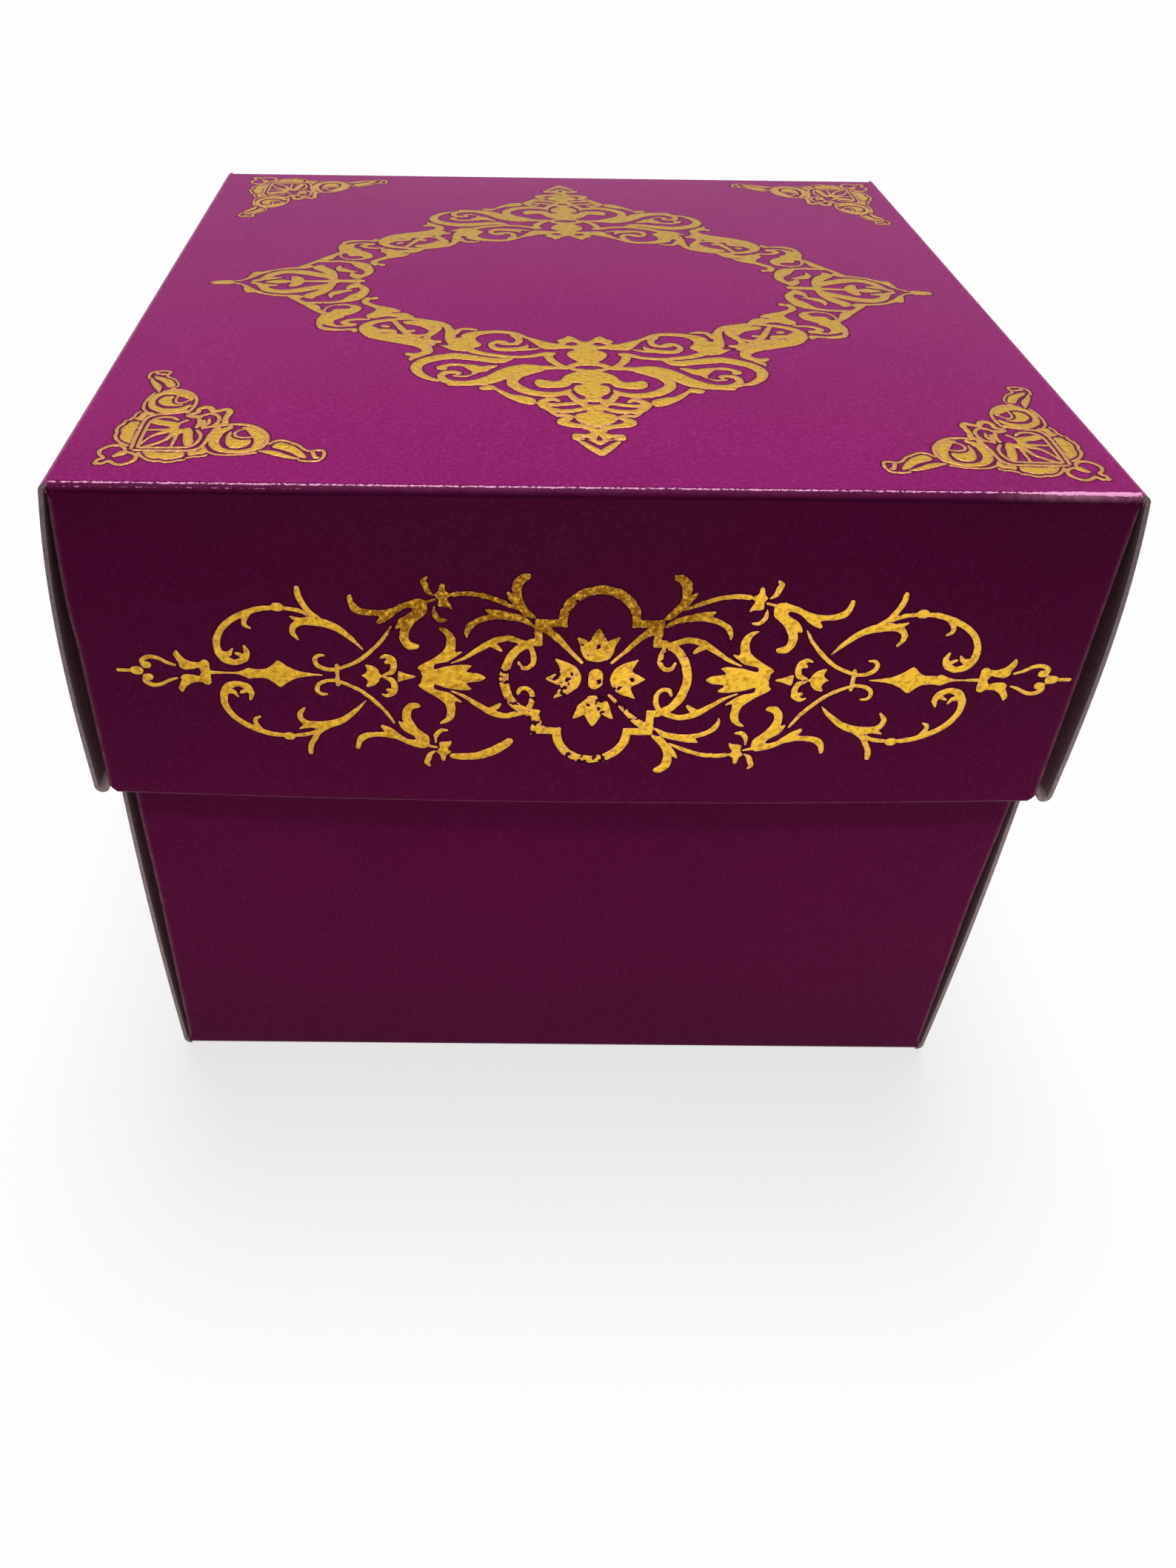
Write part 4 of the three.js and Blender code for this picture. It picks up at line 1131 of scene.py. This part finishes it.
# Stamped foil over a grid of distances. Grid nodes close to the foil's outline, or to the outer edge of the
# pressed line round it, slide onto it along the slope, so that the mesh ends on a smooth outline. The foil
# rises from its edge by 1 - exp(-distance / bevel). The pressed line sinks into the film.
def foilPiece(name, u, v, field, kind, place, outward, foilShade):
    cell, edge, rim = (stamping[kind][key] for key in ("cell", "edge", "rim"))
    slopeU, slopeV = np.gradient(field, cell)
    steep = np.maximum(slopeU ** 2 + slopeV ** 2, 0.3)
    level = np.where(np.abs(field) < np.abs(field - edge), 0, edge)
    slide = np.where(np.abs(field - level) < 0.5 * cell, (field - level) / steep, 0)
    slide = np.clip(slide, -0.55 * cell, 0.55 * cell)
    settled = np.where(slide != 0, level, field)
    u, v = u - slide * slopeU, v - slide * slopeV
    rise = foil["lift"] + foil["relief"] * (1 - np.exp(np.minimum(settled, 0) / foil["bevel"]))
    lift = np.where(settled > 0, foil["lift"] * (1 - settled / (0.85 * edge)), rise)

    corner = quadsOf(np.arange(field.size).reshape(field.shape))
    close = np.abs(field.ravel()[corner])
    other = close[:, 0] + close[:, 2] > close[:, 1] + close[:, 3]
    corner = np.where(other[:, None], np.roll(corner, -1, 1), corner)
    faces = np.concatenate([corner[:, [0, 1, 2]], corner[:, [0, 2, 3]]])
    mean = settled.ravel()[faces].mean(1)
    tie = field.ravel()[faces].mean(1)
    isFoil = (mean < -1e-9) | ((np.abs(mean) <= 1e-9) & (tie < 0))
    isEdge = ~isFoil & ((mean < edge - 1e-9) | ((np.abs(mean - edge) <= 1e-9) & (tie < edge)))
    slots = np.where(isFoil, 0, 1)[isFoil | isEdge]
    used, faces = np.unique(faces[isFoil | isEdge], return_inverse=True)
    faces = faces.reshape(-1, 3)

    points = place(u.ravel()[used], v.ravel()[used], lift.ravel()[used])
    a, b, c = points[faces[:, 0]], points[faces[:, 1]], points[faces[:, 2]]
    if (np.cross(b - a, c - a) @ np.array(outward, float)).sum() < 0:
        faces = faces[:, ::-1]
    fields = {
        # share of painted shade on the foil
        "foilShade": foilShade + 0 * u,
        # painted highlight on the foil's edge
        "rim": np.clip(1.3 + 1.3 * settled / rim, 0, 1) * (settled <= 0),
        # darker film round the foil, with painted shade at its foot
        "pressed": np.clip(1 - settled / edge, 0, 1),
    }
    chosen = {key: values.ravel()[used] for key, values in fields.items()}
    piece = meshFrom(name, points, faces, slots, [goldFoil, pressedFilm], chosen)
    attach(piece, "lid")
    print(f"{name}: {len(faces)} triangles")
    return piece


# Whole grid over a kind's reach, and the ornament's quarter mirrored over it
def mirroredField(table, kind):
    cell = stamping[kind]["cell"]
    countU, countV = (round(reach / cell) for reach in stamping[kind]["reach"])
    u, v = np.meshgrid(cell * np.arange(countU + 1), cell * np.arange(countV + 1), indexing="ij")
    quarter = ornamentField(u, v, table)
    field = np.concatenate([quarter[:0:-1], quarter])
    field = np.concatenate([field[:, :0:-1], field], 1)
    lines = [cell * np.arange(-count, count + 1) for count in (countU, countV)]
    return *np.meshgrid(*lines, indexing="ij"), field


lidTray = trays["lid"]


# On the crowned top
def onTop(x, y, lift):
    return np.stack([x, y, box["height"] + crownAt(lidTray, x, y) + lift], -1)


# On a bowed front or back wall of the lid
def onEnd(x, z, lift, sign):
    return np.stack([x, sign * (lidHalf + bowAt(lidTray, x, z) + lift), z], -1)


# On a sprung left or right wall of the lid
def onSide(y, z, lift, sign):
    reach = sideLevels(lidTray)["wallFace"] + lidTray["wallLean"](shareAt(lidTray, z)) + lift
    return np.stack([sign * reach, y, z], -1)


# The medallion's die is a trace askew: its left half climbs towards the back, and its left tip reaches
# further
def onMedallion(u, v, lift):
    x = medallionX + u + 0.07 * np.minimum(u + 31, 0)
    return onTop(x, medallionY - v - 0.014 * np.minimum(u, 0), lift)


bandX, bandZ = 1.2, 63.4
medallionX, medallionY = 0.95, 0.35

u, v, bandField = mirroredField(sideBand, "band")
place = np.stack([u.ravel(), v.ravel()], -1)


def measured(measure, shape):
    return measure(place, shape).reshape(u.shape)


frontWear = {
    "pits": ((0.46, 0.55, 5), (0.24, 0.45, 6)),     # size, share and seed of the pits' two noises
    "pitDepth": 0.9,
    "shadeUp": (2.2, 5.7),           # painted shade above the middle, between a left and a right end
    "shadeLeft": (-27.0, -23.0),
    "shadeRight": (15.0, 8.0),
    "shadeEnd": (2.8, -11.2),        # and painted shade more evenly over the left half
    "shadeShare": 0.42,
    "raggedInShade": 0.05,             # how much more ragged the outline is under painted shade
}

# The front's own state: strokes smeared or missing at lower left, foil rubbed away in pits, painted shade
# over the middle
frontField = bandField
for gap in sideBand["missing"]:
    frontField = np.maximum(frontField, -measured(leafDistance, np.array(gap, float)))
for line in sideBand["brush"]:
    frontField = np.minimum(frontField, measured(strokeDistance, smoothLine(line)))
pits = sum(share * smoothNoise(u, v, size, seed) for size, share, seed in frontWear["pits"])
for spotU, spotV, radius, share in sideBand["rubbed"]:
    near = np.clip(1 - ((u - spotU) ** 2 + (v - spotV) ** 2) / radius ** 2, 0, 1)
    worn = frontWear["pitDepth"] * (share * np.sqrt(near) - pits) - 3 * (near == 0)
    frontField = np.maximum(frontField, worn)
# painted shade on the front foil, above the middle between a left and a right end, then evenly over the left
foilShade = ramp(-v, *frontWear["shadeUp"]) * ramp(u, *frontWear["shadeLeft"]) * ramp(u, *frontWear["shadeRight"])
bandField = ragged(bandField, u, v, "band")
frontField = ragged(frontField, u, v, "band", frontWear["raggedInShade"] * foilShade)

foilShade = np.maximum(foilShade, frontWear["shadeShare"] * ramp(u, *frontWear["shadeEnd"]))
foilPiece("frontOrnament", u, v, frontField, "band",
          lambda u, v, lift: onEnd(bandX + u, bandZ - v, lift, -1), (0, -1, 0), foilShade)
foilPiece("backOrnament", u, v, bandField, "band",
          lambda u, v, lift: onEnd(-u, bandZ - v, lift, 1), (0, 1, 0), 0)
foilPiece("leftOrnament", u, v, bandField, "band",
          lambda u, v, lift: onSide(-u, bandZ - v, lift, -1), (-1, 0, 0), 0)
foilPiece("rightOrnament", u, v, bandField, "band",
          lambda u, v, lift: onSide(u, bandZ - v, lift, 1), (1, 0, 0), 0)

u, v, medallionField = mirroredField(medallion, "medallion")
medallionField = ragged(medallionField, u, v, "medallion")
middle = v.shape[1] // 2
# painted shade on the medallion's foil, darker towards the back
paintedRearShade = np.clip(0.22 - v / 300, 0, 1)
for name, half in (("medallionRear", slice(None, middle + 1)), ("medallionFront", slice(middle, None))):
    foilPiece(name, u[:, half], v[:, half], medallionField[:, half], "medallion",
              onMedallion, (0, 0, 1), paintedRearShade[:, half])


# A corner bracket is one arm, its mirror image over the diagonal stretched as measured, and the crown
def bracketField(p, q):
    along, across = np.interp(q, *bracket["armAlong"]), np.interp(p, *bracket["armAcross"])
    arms = np.minimum(ornamentField(p, q, bracket), ornamentField(along, across, bracket))
    return np.minimum(arms, ornamentField(p, q, bracket["crown"]))


cell = stamping["bracket"]["cell"]
line = cell * np.arange(-4, round(stamping["bracket"]["reach"][0] / cell))
p, q = np.meshgrid(line, line, indexing="ij")
cornerField = ragged(bracketField(p, q), p, q, "bracket")
for name, cornerX, cornerY, scale in bracket["corners"]:
    stepX, stepY = -scale * np.sign(cornerX), -scale * np.sign(cornerY)
    # a little painted foil shade in streaks all over
    foilPiece(name, p, q, cornerField, "bracket",
              lambda p, q, lift: onTop(cornerX + stepX * p, cornerY + stepY * q, lift), (0, 0, 1), 0.12)
print("foil stamped")


studio = {
    "floorSeen": "#8b8c90",     # the paper sweep as the camera and reflections see it, and its own glow there
    "floorGlow": 0.73,
    "floorLit": "#4e4843",      # as it throws light back on the box
    "floorSize": 6.0,
    "roomSeen": 0.63,           # the studio behind, seen straight or reflected
    "roomLit": 0.05,            # its share of the light on the box
    # two softboxes far off: brightness, colour, degrees across, degrees it stands behind the box
    "overhead": (2.7, "#ffffff", 30.0, 14.0),
    "overFront": (0.47, "#ffeada", 6.0, -22.0),
    # low reflector strip at the right front: watts, colour, width, height and place in metres
    "reflector": (0.0165, "#ffe6d8", 0.5, 0.03, (0.172, -0.2, 0.015)),
    "reflectorTilt": 95.0,      # degrees up from facing the floor, and degrees that its light spreads
    "reflectorSpread": 50.0,
}


# 1 where the camera sees a backdrop straight or in a reflection, 0 where it only throws light
def seenDirectly(tree):
    path = addNode(tree, "LightPath").outputs
    seen = addNode(tree, "Math", {0: path["Is Camera Ray"], 1: path["Is Glossy Ray"]}, operation="MAXIMUM")
    return addNode(tree, "Math", {0: seen, 1: path["Is Transmission Ray"]}, operation="MAXIMUM")


# Matt paper sweep, a flat pale ground that keeps the box's shadow
def makeFloor():
    material, tree, place = newMaterial("matt paper sweep")
    seen = seenDirectly(tree)
    colour = layColours(tree, studio["floorLit"], [(studio["floorSeen"], (seen,))])
    glow = addNode(tree, "Math", {0: seen, 1: studio["floorGlow"]}, operation="MULTIPLY")
    shadeMaterial(tree, {
        "Base Color": colour, "Roughness": 0.95, "Specular IOR Level": 0.0,
        "Emission Color": (1, 1, 1, 1), "Emission Strength": glow,
    })
    reach = studio["floorSize"] / 2 * perMetre
    line = np.linspace(-reach, reach, 3)
    x, y = np.meshgrid(line, line, indexing="ij")
    points = np.stack([x, y, 0 * x], -1).reshape(-1, 3)
    floor = meshFrom("floor", points, quadsOf(np.arange(9).reshape(3, 3)), np.zeros(4), [material])


makeFloor()

world = bpy.data.worlds.new("studio")
bpy.context.scene.world = world
world.use_nodes = True
tree = world.node_tree
tree.nodes.clear()
strength = addNode(tree, "MapRange", {
    "Value": seenDirectly(tree), "To Min": studio["roomLit"], "To Max": studio["roomSeen"]})
room = addNode(tree, "Background", {"Color": (1, 1, 1, 1), "Strength": strength})
addNode(tree, "OutputWorld", {"Surface": room})


def addLamp(name, kind, energy, place, **settings):
    lamp = bpy.data.lights.new(name, kind)
    lamp.energy = energy
    for key, value in settings.items():
        setattr(lamp, key, value)
    holder = bpy.data.objects.new(name, lamp)
    holder.matrix_world = place
    bpy.context.scene.collection.objects.link(holder)


for name in ("overhead", "overFront"):
    energy, colour, spread, tilt = studio[name]
    place = Matrix.Translation((0, 0, 1)) @ Matrix.Rotation(-math.radians(tilt), 4, "X")
    addLamp(name + "Softbox", "SUN", energy, place, angle=math.radians(spread), color=linear(colour)[:3])
energy, colour, width, height, spot = studio["reflector"]
place = Matrix.Translation(spot) @ Matrix.Rotation(math.radians(studio["reflectorTilt"]), 4, "X")
addLamp("reflector", "AREA", energy, place, shape="RECTANGLE", size=width, size_y=height,
        color=linear(colour)[:3], spread=math.radians(studio["reflectorSpread"]))
bpy.data.objects["reflector"].visible_camera = False

view = {
    "lens": 28.388,
    "sensor": 36.0,
    "shift": (0.06448, -0.10043),
    "place": (-0.01038, -0.14801, 0.13891),     # metres
    "turn": (54.5455, -0.7030, 0.0980),     # degrees from looking straight down, about X, Y and Z
}
lens = bpy.data.cameras.new("camera")
lens.lens, lens.sensor_width, lens.clip_start = view["lens"], view["sensor"], 0.01
lens.shift_x, lens.shift_y = view["shift"]
camera = bpy.data.objects.new("camera", lens)
camera.location = view["place"]
camera.rotation_euler = [math.radians(angle) for angle in view["turn"]]
bpy.context.scene.collection.objects.link(camera)
bpy.context.scene.camera = camera
bpy.context.scene.view_settings.view_transform = "Standard"
print("studio set")
